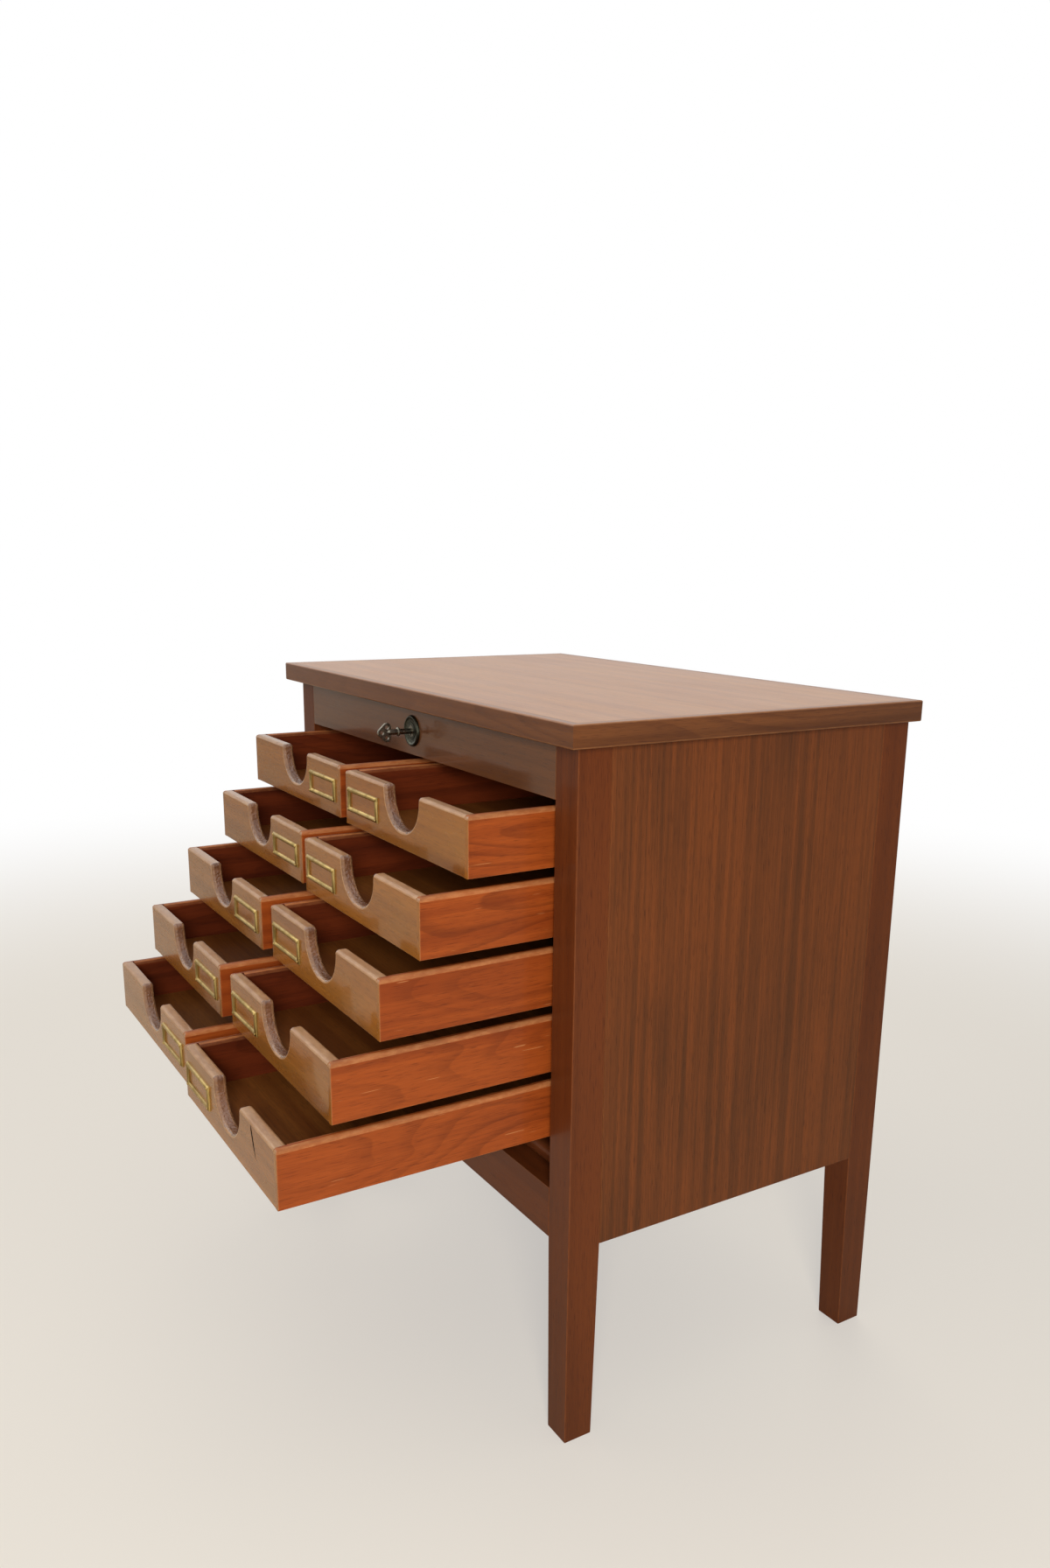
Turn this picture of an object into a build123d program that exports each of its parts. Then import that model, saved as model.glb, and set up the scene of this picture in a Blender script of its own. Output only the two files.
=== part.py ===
from build123d import *
import math
import os

os.makedirs("parts", exist_ok=True)

# A paper cabinet on four tapered legs: ten open tray drawers in two columns, a flush top
# that overhangs the front and the sides, and a lock that holds all the drawers at once.
# X runs from left to right, Y from the front to the back and Z up from the floor.
# All sizes are in millimetres.

# --- Driving dimensions -------------------------------------------------------------------

# Drawers
row_count = 5
drawer_width = 260.0
drawer_length = 385.5
drawer_height = 55.0
front_thickness = 12.0
side_thickness = 10.0
tail_thickness = 10.0          # the board that closes a drawer at its rear
tail_drop = 6.0                # how much lower than the sides that board ends
tray_thickness = 4.0           # plywood bottom of a drawer
tray_lift = 5.0                # from the lower edge of a drawer to the underside of its bottom
groove_depth = 4.0             # how far the plywood goes into the front and the sides
corner_lap = 6.0               # lip of the side that covers the end of the front
edge_round = 4.0               # rounding of the upper edges

# Finger notch in each drawer front
notch_width = 70.0
notch_depth = 38.0
notch_corner = 33.0
notch_shoulder = 4.0
notch_edge_round = 3.0

# Card holders
label_width = 70.0
label_height = 25.0
label_border = 5.0
label_thickness = 2.4
label_edge = 1.0
label_lift = 14.0              # from the lower edge of the front to the holder
label_inset_left = 13.0        # from the centre of the cabinet's end of the front, left column
label_inset_right = 8.0        # the same, right column
pin_radius = 0.75
pin_head_radius = 1.3
pin_head_height = 0.7
pin_length = 6.0               # in the wood
pin_inset = 2.4

# How far each drawer stands open, from the top row down
open_left = [79.0, 123.0, 169.0, 215.0, 254.0]
open_right = [83.0, 129.0, 167.0, 212.0, 261.0]

# Clearances and gaps around the drawers
running_gap = 0.3              # between a drawer and its runner board
row_clearance = 3.7            # over a drawer, below the next runner board
head_clearance = 7.5           # over the top drawer, below the top rail
partition_play = 2.0
guide_play = 1.0
leg_gap = 7.0                  # from a drawer to the inner face of a leg
front_setback = 1.0            # of a closed drawer, behind the faces of the legs
stop_gap = 0.5                 # between a closed drawer and the back panel

# Case
leg_section = 35.0
foot_section = 30.5
leg_clearance = 206.0          # from the floor to the lower edge of the panels
side_panel_thickness = 16.0
back_panel_thickness = 10.0
tongue_length = 8.0
side_tongue_thickness = 8.0
back_tongue_thickness = 5.0
rail_height = 51.0
top_rail_thickness = 22.0
lower_rail_thickness = 28.0
tenon_length = 15.0
tenon_thickness = 10.0
tenon_shoulder = 6.0
bottom_board_thickness = 18.0
bottom_board_nose = 7.0
under_space = 24.2             # between the bottom board and the lowest runner board
runner_thickness = 6.0
nest_setback = 22.0            # of the runner boards and the bottom board
side_housing = 5.0             # depth of the grooves for the boards in the side panels
partition_thickness = 20.0
partition_housing = 4.0
partition_setback = 37.0       # from the faces of the legs to its front edge
guide_height = 12.0

# Top
top_thickness = 21.0
side_overhang = 15.0
front_overhang = 16.0
lipping_width = 9.0
top_arris = 1.5

# Lock and key
rosette_radius = 16.5
rosette_thickness = 3.0
rosette_edge = 1.4
barrel_radius = 9.0
barrel_proud = 2.0
plug_radius = 6.0
fit_clearance = 0.05
lock_case_width = 40.0
lock_case_height = 31.0
lock_case_depth = 10.0
lock_screw_radius = 1.5
lock_screw_head_radius = 2.8
lock_screw_head_height = 1.8
lock_screw_bite = 10.0
lock_screw_inset = 5.0
cam_radius = 9.0
cam_thickness = 2.7
cam_gap = 0.3
crank_radius = 2.0
key_shank_radius = 3.0
key_reach = 18.0               # of the shank inside the plug
key_bit_thickness = 2.2
key_bit_radius = 5.0
key_bit_length = 6.0
key_collar_radius = 4.6
key_collar_length = 2.0
key_collar_place = 17.0        # from the faces of the legs to the collar
key_bow_place = 30.0           # from the faces of the legs to the two inner lobes of the bow
key_bow_thickness = 2.6
key_lobe_radius = 4.7
key_lobe_spread = 5.4          # of the inner lobes above and below the shank
key_lobe_reach = 5.6           # of the outer lobe beyond the inner ones
key_eye_radius = 2.0
key_gap = 0.1

# Locking bar between the columns
bar_thickness = 3.0
bar_depth = 6.0
bar_place = 39.0               # from the faces of the legs to the middle of the bar
bar_stroke = 9.0
bar_gap = 0.5
bar_tail = 8.0                 # of the bar in the bottom board, unlocked
peg_radius = 2.5
peg_reach = 10.0               # from the middle of the cabinet to the end of a peg
catch_radius = 2.5
catch_reach = 8.0              # of a catch dowel out of the drawer
catch_bite = 6.0               # of a catch dowel in the side of the drawer
catch_gap = 1.0
tab_thickness = 4.0
tab_wall = 3.0
slot_gap = 0.3

# --- Places worked out from the driving dimensions ----------------------------------------

drawer_inner = partition_thickness / 2 + partition_play
drawer_outer = drawer_inner + drawer_width
leg_inner = drawer_outer + leg_gap
case_half = leg_inner + leg_section
panel_inner = case_half - side_panel_thickness
case_depth = front_setback + drawer_length + stop_gap + back_panel_thickness

# The middle of the whole footprint, open drawers included, is at the origin.
label_proud = label_thickness + pin_head_height
longest_opening = max(open_left + open_right)
front = (longest_opening - front_setback + label_proud - case_depth) / 2
back = front + case_depth
panel_front = front + leg_section
panel_back = back - leg_section
back_panel_face = back - back_panel_thickness
nest_front = front + nest_setback

lower_rail_top = leg_clearance + rail_height
bottom_board_top = lower_rail_top + bottom_board_thickness
lowest_runner_top = bottom_board_top + under_space + runner_thickness
row_pitch = drawer_height + row_clearance + runner_thickness + running_gap
runner_tops = [lowest_runner_top + row_pitch * (row_count - 1 - row) for row in range(row_count)]
drawer_floors = [runner_top + running_gap for runner_top in runner_tops]
top_rail_bottom = drawer_floors[0] + drawer_height + head_clearance
case_top = top_rail_bottom + rail_height
cabinet_height = case_top + top_thickness

lock_height = top_rail_bottom + rail_height / 2
bar_middle = front + bar_place
catch_place = bar_place + peg_radius + catch_gap + catch_radius - front_setback
crank_throw = bar_stroke / (2 * math.sin(math.radians(45)))
partition_front = front + partition_setback
catch_back = front + front_setback + catch_place + catch_radius


def block(x, y, z, mode=Mode.ADD):
    """Add or cut a box that spans the given pairs of X, Y and Z."""
    middle = ((x[0] + x[1]) / 2, (y[0] + y[1]) / 2, (z[0] + z[1]) / 2)
    with Locations(middle):
        Box(abs(x[1] - x[0]), abs(y[1] - y[0]), abs(z[1] - z[0]), mode=mode)


def rod(radius, centre_x, centre_z, y, mode=Mode.ADD):
    """Add or cut a round rod along Y that spans the given pair of Y."""
    with Locations(Location((centre_x, (y[0] + y[1]) / 2, centre_z), (90, 0, 0))):
        Cylinder(radius, abs(y[1] - y[0]), mode=mode)


def save(shape, name):
    """Name a finished piece and write it."""
    shape.label = name
    export_step(shape, f"parts/{name}.step")


# --- Legs ----------------------------------------------------------------------------------

# Each leg tapers below the panels, on its two inner faces only.
corners = {
    "leg_front_left": (-1, -1),
    "leg_front_right": (1, -1),
    "leg_back_left": (-1, 1),
    "leg_back_right": (1, 1),
}
rail_tenon_z = {
    "lower": (leg_clearance + tenon_shoulder, lower_rail_top - tenon_shoulder),
    "top": (top_rail_bottom + tenon_shoulder, case_top - tenon_shoulder),
}
rail_tenon_y = {
    "lower": (front + (lower_rail_thickness - tenon_thickness) / 2,
              front + (lower_rail_thickness + tenon_thickness) / 2),
    "top": (front + (top_rail_thickness - tenon_thickness) / 2,
            front + (top_rail_thickness + tenon_thickness) / 2),
}
side_tongue_x = (case_half - (side_panel_thickness + side_tongue_thickness) / 2,
                 case_half - (side_panel_thickness - side_tongue_thickness) / 2)
back_tongue_y = (back - (back_panel_thickness + back_tongue_thickness) / 2,
                 back - (back_panel_thickness - back_tongue_thickness) / 2)

for name, (side, end) in corners.items():
    outer_y = front if end < 0 else back
    with BuildPart() as leg:
        with BuildSketch(Plane.XY.offset(leg_clearance)):
            with Locations((side * (case_half - leg_section / 2), outer_y - end * leg_section / 2)):
                Rectangle(leg_section, leg_section)
        extrude(amount=case_top - leg_clearance)
        with BuildSketch(Plane.XY):
            with Locations((side * (case_half - foot_section / 2), outer_y - end * foot_section / 2)):
                Rectangle(foot_section, foot_section)
        with BuildSketch(Plane.XY.offset(leg_clearance)):
            with Locations((side * (case_half - leg_section / 2), outer_y - end * leg_section / 2)):
                Rectangle(leg_section, leg_section)
        loft()
        # groove for the tongue of the side panel
        inner_y = outer_y - end * leg_section
        block((side * side_tongue_x[0], side * side_tongue_x[1]),
              (inner_y, inner_y + end * tongue_length),
              (leg_clearance, case_top), Mode.SUBTRACT)
        if end < 0:
            # mortises for the two front rails
            for rail in ("lower", "top"):
                block((side * leg_inner, side * (leg_inner + tenon_length)),
                      rail_tenon_y[rail], rail_tenon_z[rail], Mode.SUBTRACT)
        else:
            # groove for the tongue of the back panel
            block((side * leg_inner, side * (leg_inner + tongue_length)),
                  back_tongue_y, (leg_clearance, case_top), Mode.SUBTRACT)
    save(leg.part, name)

# --- Side panels and back panel --------------------------------------------------------------

for name, side in (("side_panel_left", -1), ("side_panel_right", 1)):
    with BuildPart() as side_panel:
        block((side * panel_inner, side * case_half), (panel_front, panel_back),
              (leg_clearance, case_top))
        block((side * side_tongue_x[0], side * side_tongue_x[1]),
              (panel_front - tongue_length, panel_back + tongue_length),
              (leg_clearance, case_top))
        # grooves that house the bottom board and the runner boards
        housing_x = (side * panel_inner, side * (panel_inner + side_housing))
        block(housing_x, (panel_front, panel_back), (lower_rail_top, bottom_board_top),
              Mode.SUBTRACT)
        for runner_top in runner_tops:
            block(housing_x, (panel_front, panel_back),
                  (runner_top - runner_thickness, runner_top), Mode.SUBTRACT)
    save(side_panel.part, name)

with BuildPart() as back_panel:
    block((-leg_inner, leg_inner), (back_panel_face, back), (leg_clearance, case_top))
    block((-leg_inner - tongue_length, leg_inner + tongue_length), back_tongue_y,
          (leg_clearance, case_top))
save(back_panel.part, "back_panel")

# --- Front rails -----------------------------------------------------------------------------

lock_case_y = (front + top_rail_thickness, front + top_rail_thickness + lock_case_depth)
lock_screw_places = [
    (x_side * (lock_case_width / 2 - lock_screw_inset),
     lock_height + z_side * (lock_case_height / 2 - lock_screw_inset))
    for x_side in (-1, 1) for z_side in (-1, 1)
]

with BuildPart() as lower_front_rail:
    block((-leg_inner, leg_inner), (front, front + lower_rail_thickness),
          (leg_clearance, lower_rail_top))
    block((-leg_inner - tenon_length, leg_inner + tenon_length),
          rail_tenon_y["lower"], rail_tenon_z["lower"])
save(lower_front_rail.part, "lower_front_rail")

with BuildPart() as top_front_rail:
    block((-leg_inner, leg_inner), (front, front + top_rail_thickness),
          (top_rail_bottom, case_top))
    block((-leg_inner - tenon_length, leg_inner + tenon_length),
          rail_tenon_y["top"], rail_tenon_z["top"])
    # bore for the barrel of the lock and pilot holes for its screws
    rod(barrel_radius + fit_clearance, 0, lock_height, (front, front + top_rail_thickness),
        Mode.SUBTRACT)
    for screw_x, screw_z in lock_screw_places:
        rod(lock_screw_radius + fit_clearance / 2, screw_x, screw_z,
            (lock_case_y[0] - lock_screw_bite - bar_gap, lock_case_y[0]), Mode.SUBTRACT)
save(top_front_rail.part, "top_front_rail")

# --- Boards inside the case --------------------------------------------------------------------

# The bottom board lies on the lower rail, between the legs, and is housed in the side panels.
with BuildPart() as bottom_board:
    with BuildSketch(Plane.XY.offset(lower_rail_top)):
        with BuildLine():
            Polyline(
                (-leg_inner, nest_front), (leg_inner, nest_front),
                (leg_inner, panel_front), (panel_inner + side_housing, panel_front),
                (panel_inner + side_housing, panel_back), (leg_inner, panel_back),
                (leg_inner, back_panel_face), (-leg_inner, back_panel_face),
                (-leg_inner, panel_back), (-panel_inner - side_housing, panel_back),
                (-panel_inner - side_housing, panel_front), (-leg_inner, panel_front),
                close=True,
            )
        make_face()
    extrude(amount=bottom_board_thickness)
    nose = bottom_board.edges().filter_by(Axis.X).group_by(Axis.Y)[0]
    fillet(nose, bottom_board_nose)
    # slot that guides the locking bar
    block((-bar_thickness / 2 - bar_gap, bar_thickness / 2 + bar_gap),
          (bar_middle - bar_depth / 2 - bar_gap, bar_middle + bar_depth / 2 + bar_gap),
          (lower_rail_top, bottom_board_top), Mode.SUBTRACT)
save(bottom_board.part, "bottom_board")

# The front edge of the partition is grooved for the locking bar, and notched in every row
# for a peg of the bar and the catch dowels of the two drawers.
partition_x = (-partition_thickness / 2, partition_thickness / 2)
groove_x = (-bar_thickness / 2 - bar_gap, bar_thickness / 2 + bar_gap)
groove_back = bar_middle + bar_depth / 2 + bar_gap
with BuildPart() as centre_partition:
    block(partition_x, (partition_front, back_panel_face), (bottom_board_top, case_top))
    block(partition_x, (partition_front, groove_back), (top_rail_bottom, case_top),
          Mode.SUBTRACT)
    block(groove_x, (partition_front, groove_back), (bottom_board_top, top_rail_bottom),
          Mode.SUBTRACT)
    for floor in drawer_floors:
        catch_height = floor + drawer_height / 2
        block(partition_x, (partition_front, catch_back + catch_gap),
              (catch_height - catch_radius - catch_gap,
               catch_height + bar_stroke + peg_radius + catch_gap), Mode.SUBTRACT)
    for runner_top in runner_tops:
        for side in (-1, 1):
            block((side * partition_thickness / 2,
                   side * (partition_thickness / 2 - partition_housing)),
                  (partition_front, back_panel_face),
                  (runner_top - runner_thickness, runner_top), Mode.SUBTRACT)
save(centre_partition.part, "centre_partition")

# One runner board under each drawer, with a guide batten glued on it beside the drawer.
runner_pieces = []
for side in (-1, 1):
    for runner_top in runner_tops:
        with BuildPart() as runner_board:
            with BuildSketch(Plane.XY.offset(runner_top - runner_thickness)):
                with BuildLine():
                    Polyline(
                        (side * partition_thickness / 2, nest_front),
                        (side * leg_inner, nest_front),
                        (side * leg_inner, panel_front),
                        (side * (panel_inner + side_housing), panel_front),
                        (side * (panel_inner + side_housing), panel_back),
                        (side * leg_inner, panel_back),
                        (side * leg_inner, back_panel_face),
                        (side * (partition_thickness / 2 - partition_housing), back_panel_face),
                        (side * (partition_thickness / 2 - partition_housing), partition_front),
                        (side * partition_thickness / 2, partition_front),
                        close=True,
                    )
                make_face()
            extrude(amount=runner_thickness)
        with BuildPart() as guide_batten:
            block((side * (drawer_outer + guide_play), side * panel_inner),
                  (panel_front, panel_back), (runner_top, runner_top + guide_height))
        runner_pieces += [runner_board.part, guide_batten.part]
save(Compound(children=runner_pieces), "drawer_runners")

# --- Top -----------------------------------------------------------------------------------------

# The board of the top has a mitred lipping on its four edges.
top_half = case_half + side_overhang
top_front = front - front_overhang
with BuildPart() as top_panel:
    block((-top_half + lipping_width, top_half - lipping_width),
          (top_front + lipping_width, back - lipping_width), (case_top, cabinet_height))
save(top_panel.part, "top_panel")

outer_corners = [(-top_half, top_front), (top_half, top_front), (top_half, back), (-top_half, back)]
inner_corners = [
    (-top_half + lipping_width, top_front + lipping_width),
    (top_half - lipping_width, top_front + lipping_width),
    (top_half - lipping_width, back - lipping_width),
    (-top_half + lipping_width, back - lipping_width),
]
lippings = []
for start, (along, outward) in enumerate(
        ((Axis.X, -Axis.Y), (Axis.Y, Axis.X), (Axis.X, Axis.Y), (Axis.Y, -Axis.X))):
    after = (start + 1) % 4
    with BuildPart() as lipping:
        with BuildSketch(Plane.XY.offset(case_top)):
            with BuildLine():
                Polyline(outer_corners[start], outer_corners[after],
                         inner_corners[after], inner_corners[start], close=True)
            make_face()
        extrude(amount=top_thickness)
        fillet(lipping.edges().filter_by(along).group_by(outward)[-1], top_arris)
    lippings.append(lipping.part)
save(Compound(children=lippings), "top_lippings")

# --- Lock, key and locking bar -------------------------------------------------------------------

with BuildPart() as lock_rosette:
    rod(rosette_radius, 0, lock_height, (front - rosette_thickness, front))
    fillet(lock_rosette.edges().filter_by(GeomType.CIRCLE).group_by(Axis.Y)[0], rosette_edge)
    rod(barrel_radius + fit_clearance, 0, lock_height, (front - rosette_thickness, front),
        Mode.SUBTRACT)
save(lock_rosette.part, "lock_rosette")

with BuildPart() as lock_case:
    block((-lock_case_width / 2, lock_case_width / 2), lock_case_y,
          (lock_height - lock_case_height / 2, lock_height + lock_case_height / 2))
    rod(barrel_radius, 0, lock_height, (front - barrel_proud, lock_case_y[0]))
    rod(plug_radius + fit_clearance, 0, lock_height, (front - barrel_proud, lock_case_y[1]),
        Mode.SUBTRACT)
    for screw_x, screw_z in lock_screw_places:
        rod(lock_screw_radius + fit_clearance, screw_x, screw_z, lock_case_y, Mode.SUBTRACT)
save(lock_case.part, "lock_case")

lock_screws = []
for screw_x, screw_z in lock_screw_places:
    with BuildPart() as lock_screw:
        rod(lock_screw_head_radius, screw_x, screw_z,
            (lock_case_y[1], lock_case_y[1] + lock_screw_head_height))
        fillet(lock_screw.edges().filter_by(GeomType.CIRCLE).group_by(Axis.Y)[-1],
               lock_screw_head_height / 2)
        rod(lock_screw_radius, screw_x, screw_z, (lock_case_y[0] - lock_screw_bite, lock_case_y[1]))
    lock_screws.append(lock_screw.part)
save(Compound(children=lock_screws), "lock_screws")

# The plug turns in the barrel and carries a cam with a crank pin. The crank stands at 45
# degrees when the lock is open, and a quarter turn takes it down by the stroke of the bar.
cam_y = (lock_case_y[1] + cam_gap, lock_case_y[1] + cam_gap + cam_thickness)
tab_y = (bar_middle - bar_depth / 2, bar_middle - bar_depth / 2 + tab_thickness)
crank_place = bar_stroke / 2
with BuildPart() as lock_plug:
    rod(plug_radius, 0, lock_height, (front - barrel_proud, cam_y[0]))
    rod(cam_radius, 0, lock_height, cam_y)
    rod(crank_radius, crank_place, lock_height + crank_place, (cam_y[1], tab_y[1] + cam_gap))
    rod(key_shank_radius + key_gap, 0, lock_height,
        (front - barrel_proud, front + key_reach + key_gap), Mode.SUBTRACT)
    block((-key_bit_thickness / 2 - key_gap, key_bit_thickness / 2 + key_gap),
          (front - barrel_proud, front + key_reach + key_gap),
          (lock_height - key_bit_radius - key_gap, lock_height), Mode.SUBTRACT)
save(lock_plug.part, "lock_plug")

bow_y = front - key_bow_place
lobes = [(bow_y, lock_height + key_lobe_spread), (bow_y, lock_height - key_lobe_spread),
         (bow_y - key_lobe_reach, lock_height)]
with BuildPart() as key:
    with BuildSketch(Plane.YZ.offset(-key_bow_thickness / 2)):
        with Locations(*lobes):
            Circle(key_lobe_radius)
        make_hull()
        with Locations(*lobes):
            Circle(key_eye_radius, mode=Mode.SUBTRACT)
    extrude(amount=key_bow_thickness)
    rod(key_shank_radius, 0, lock_height, (bow_y, front + key_reach))
    rod(key_collar_radius, 0, lock_height,
        (front - key_collar_place - key_collar_length / 2,
         front - key_collar_place + key_collar_length / 2))
    block((-key_bit_thickness / 2, key_bit_thickness / 2),
          (front + key_reach - key_bit_length, front + key_reach),
          (lock_height - key_bit_radius, lock_height))
save(key.part, "key")

# The bar slides up and down between the columns. Its pegs stand above the catch dowels of
# the drawers while the lock is open, and in front of them once it has gone down.
tab_middle = lock_height + crank_place
slot_half = crank_radius + slot_gap
slot_x = (crank_place - slot_half, crank_throw + slot_half)
with BuildPart() as bar_strip:
    block((-bar_thickness / 2, bar_thickness / 2),
          (bar_middle - bar_depth / 2, bar_middle + bar_depth / 2),
          (bottom_board_top - bar_tail, tab_middle + slot_half + tab_wall))
    for floor in drawer_floors:
        with Locations(Location((0, bar_middle, floor + drawer_height / 2 + bar_stroke), (0, 90, 0))):
            Cylinder(peg_radius + fit_clearance / 2, bar_thickness, mode=Mode.SUBTRACT)
with BuildPart() as bar_tab:
    block((bar_thickness / 2, slot_x[1] + tab_wall), tab_y,
          (tab_middle - slot_half - tab_wall, tab_middle + slot_half + tab_wall))
    block(slot_x, tab_y, (tab_middle - slot_half, tab_middle + slot_half), Mode.SUBTRACT)
bar_pieces = [bar_strip.part, bar_tab.part]
for floor in drawer_floors:
    with BuildPart() as peg:
        with Locations(Location((0, bar_middle, floor + drawer_height / 2 + bar_stroke), (0, 90, 0))):
            Cylinder(peg_radius, 2 * peg_reach)
    bar_pieces.append(peg.part)
save(Compound(children=bar_pieces), "locking_bar")

# --- Drawers -------------------------------------------------------------------------------------

# One set of drawer pieces is made for each column and then placed in its five rows. In its
# own frame a drawer is centred on X, with its front face at Y 0 and its lower edge at Z 0.
half_width = drawer_width / 2
notch_floor = drawer_height - notch_depth
inside_half = half_width - side_thickness
tray_top = tray_lift + tray_thickness
columns = {
    "left": (-1, label_inset_left, open_left),
    "right": (1, label_inset_right, open_right),
}

for column, (side, label_inset, openings) in columns.items():
    label_x = side * (label_inset + label_width / 2 - half_width)
    label_z = label_lift + label_height / 2
    pin_places = [
        (label_x + x_side * (label_width / 2 - pin_inset), label_z + z_side * (label_height / 2 - pin_inset))
        for x_side in (-1, 1) for z_side in (-1, 1)
    ]

    with BuildPart() as drawer_front:
        with BuildSketch(Plane.XZ) as outline:
            with Locations((0, drawer_height / 2)):
                Rectangle(drawer_width - 2 * corner_lap, drawer_height)
            with Locations((0, drawer_height)):
                RectangleRounded(notch_width, 2 * notch_depth, notch_corner,
                                 mode=Mode.SUBTRACT)
            shoulders = outline.vertices().filter_by(
                lambda corner: abs(corner.X) < notch_width / 2 + 1 and corner.Y > drawer_height - 1)
            fillet(shoulders, notch_shoulder)
        extrude(amount=-front_thickness)
        # the upper outline, on both faces, is rounded from end to end
        rounded = drawer_front.edges().filter_by(
            lambda edge: abs(edge.center().Y - front_thickness / 2) > front_thickness / 2 - 0.1
            and edge.center().Z > notch_floor - 1
            and abs(edge.center().X) < half_width - corner_lap - 1)
        fillet(rounded, notch_edge_round)
        block((-half_width, half_width), (front_thickness - groove_depth, front_thickness),
              (tray_lift, tray_top), Mode.SUBTRACT)
        for pin_x, pin_z in pin_places:
            rod(pin_radius + fit_clearance / 2, pin_x, pin_z, (0, pin_length + bar_gap),
                Mode.SUBTRACT)

    drawer_sides = []
    for hand in (-1, 1):
        with BuildPart() as drawer_side:
            block((hand * inside_half, hand * half_width), (0, drawer_length), (0, drawer_height))
            fillet(drawer_side.edges().filter_by(Axis.Y).group_by(Axis.Z)[-1], edge_round)
            block((hand * inside_half, hand * (half_width - corner_lap)), (0, front_thickness),
                  (0, drawer_height), Mode.SUBTRACT)
            block((hand * inside_half, hand * (inside_half + groove_depth)),
                  (front_thickness, drawer_length), (tray_lift, tray_top), Mode.SUBTRACT)
            if hand == -side:
                # blind hole for the catch dowel, on the side that faces the locking bar
                with Locations(Location(
                        (hand * (half_width - catch_bite / 2), catch_place, drawer_height / 2),
                        (0, 90, 0))):
                    Cylinder(catch_radius + fit_clearance / 2, catch_bite, mode=Mode.SUBTRACT)
        drawer_sides.append(drawer_side.part)

    with BuildPart() as drawer_tail:
        block((-inside_half, inside_half), (drawer_length - tail_thickness, drawer_length),
              (tray_top, drawer_height - tail_drop))
        fillet(drawer_tail.edges().filter_by(Axis.X).group_by(Axis.Z)[-1], edge_round)

    with BuildPart() as catch_dowel:
        with Locations(Location(
                (-side * (half_width + (catch_reach - catch_bite) / 2), catch_place, drawer_height / 2),
                (0, 90, 0))):
            Cylinder(catch_radius, catch_reach + catch_bite)

    with BuildPart() as drawer_tray:
        block((-inside_half - groove_depth, inside_half + groove_depth),
              (front_thickness - groove_depth, drawer_length), (tray_lift, tray_top))

    with BuildPart() as label_frame:
        with BuildSketch(Plane.XZ):
            with Locations((label_x, label_z)):
                Rectangle(label_width, label_height)
                Rectangle(label_width - 2 * label_border, label_height - 2 * label_border,
                          mode=Mode.SUBTRACT)
        extrude(amount=label_thickness)
        fillet(label_frame.faces().sort_by(Axis.Y)[0].outer_wire().edges(), label_edge)
        for pin_x, pin_z in pin_places:
            rod(pin_radius + fit_clearance / 2, pin_x, pin_z, (-label_thickness, 0), Mode.SUBTRACT)

    label_pins = []
    for pin_x, pin_z in pin_places:
        with BuildPart() as label_pin:
            rod(pin_head_radius, pin_x, pin_z, (-label_proud, -label_thickness))
            fillet(label_pin.edges().filter_by(GeomType.CIRCLE).group_by(Axis.Y)[0],
                   pin_head_height * 0.7)
            rod(pin_radius, pin_x, pin_z, (-label_thickness, pin_length))
        label_pins.append(label_pin.part)

    for row in range(row_count):
        drawer = f"drawer_{column}_{row + 1}"
        place = Location((side * (drawer_inner + half_width),
                          front + front_setback - openings[row], drawer_floors[row]))
        save(drawer_front.part.moved(place), f"{drawer}_front")
        box_pieces = drawer_sides + [drawer_tail.part, catch_dowel.part]
        save(Compound(children=[piece.moved(place) for piece in box_pieces]), f"{drawer}_box")
        save(drawer_tray.part.moved(place), f"{drawer}_bottom")
        frame_pieces = [label_frame.part] + label_pins
        save(Compound(children=[piece.moved(place) for piece in frame_pieces]), f"{drawer}_label_frame")

print(f"height {cabinet_height:.1f}, width {2 * top_half:.1f}, depth {back - top_front:.1f}")
print(f"front plane at Y {front:.2f}, back at {back:.2f}, lock at Z {lock_height:.2f}")
print(f"drawer floors {[round(floor, 1) for floor in drawer_floors]}")
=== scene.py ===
"""Looks of a wooden paper cabinet with ten tray drawers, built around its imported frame.

Every length is in metres. Each piece is made in place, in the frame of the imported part:
X from left to right, Y from the front to the back, Z up from the floor.
"""
import logging
import math
import random
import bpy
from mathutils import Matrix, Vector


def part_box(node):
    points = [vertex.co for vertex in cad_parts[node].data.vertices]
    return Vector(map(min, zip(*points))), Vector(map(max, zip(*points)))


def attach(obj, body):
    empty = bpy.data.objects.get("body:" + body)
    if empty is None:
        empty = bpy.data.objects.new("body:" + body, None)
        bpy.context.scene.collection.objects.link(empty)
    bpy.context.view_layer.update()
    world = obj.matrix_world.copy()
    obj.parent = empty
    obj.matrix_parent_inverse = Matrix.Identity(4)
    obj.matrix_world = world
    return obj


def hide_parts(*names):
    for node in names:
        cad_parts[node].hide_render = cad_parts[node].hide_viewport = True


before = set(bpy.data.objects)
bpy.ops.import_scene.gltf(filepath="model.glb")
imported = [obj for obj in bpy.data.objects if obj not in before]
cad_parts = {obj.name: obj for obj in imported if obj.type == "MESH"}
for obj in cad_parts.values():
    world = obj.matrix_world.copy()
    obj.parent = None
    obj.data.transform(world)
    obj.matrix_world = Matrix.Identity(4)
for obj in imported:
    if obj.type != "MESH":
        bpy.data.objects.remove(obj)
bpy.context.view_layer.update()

import zlib
from dataclasses import dataclass, field
from enum import Enum
from typing import Callable, Sequence

import bmesh
import bpy
from mathutils import Matrix, Vector
from mathutils.geometry import convex_hull_2d

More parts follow.
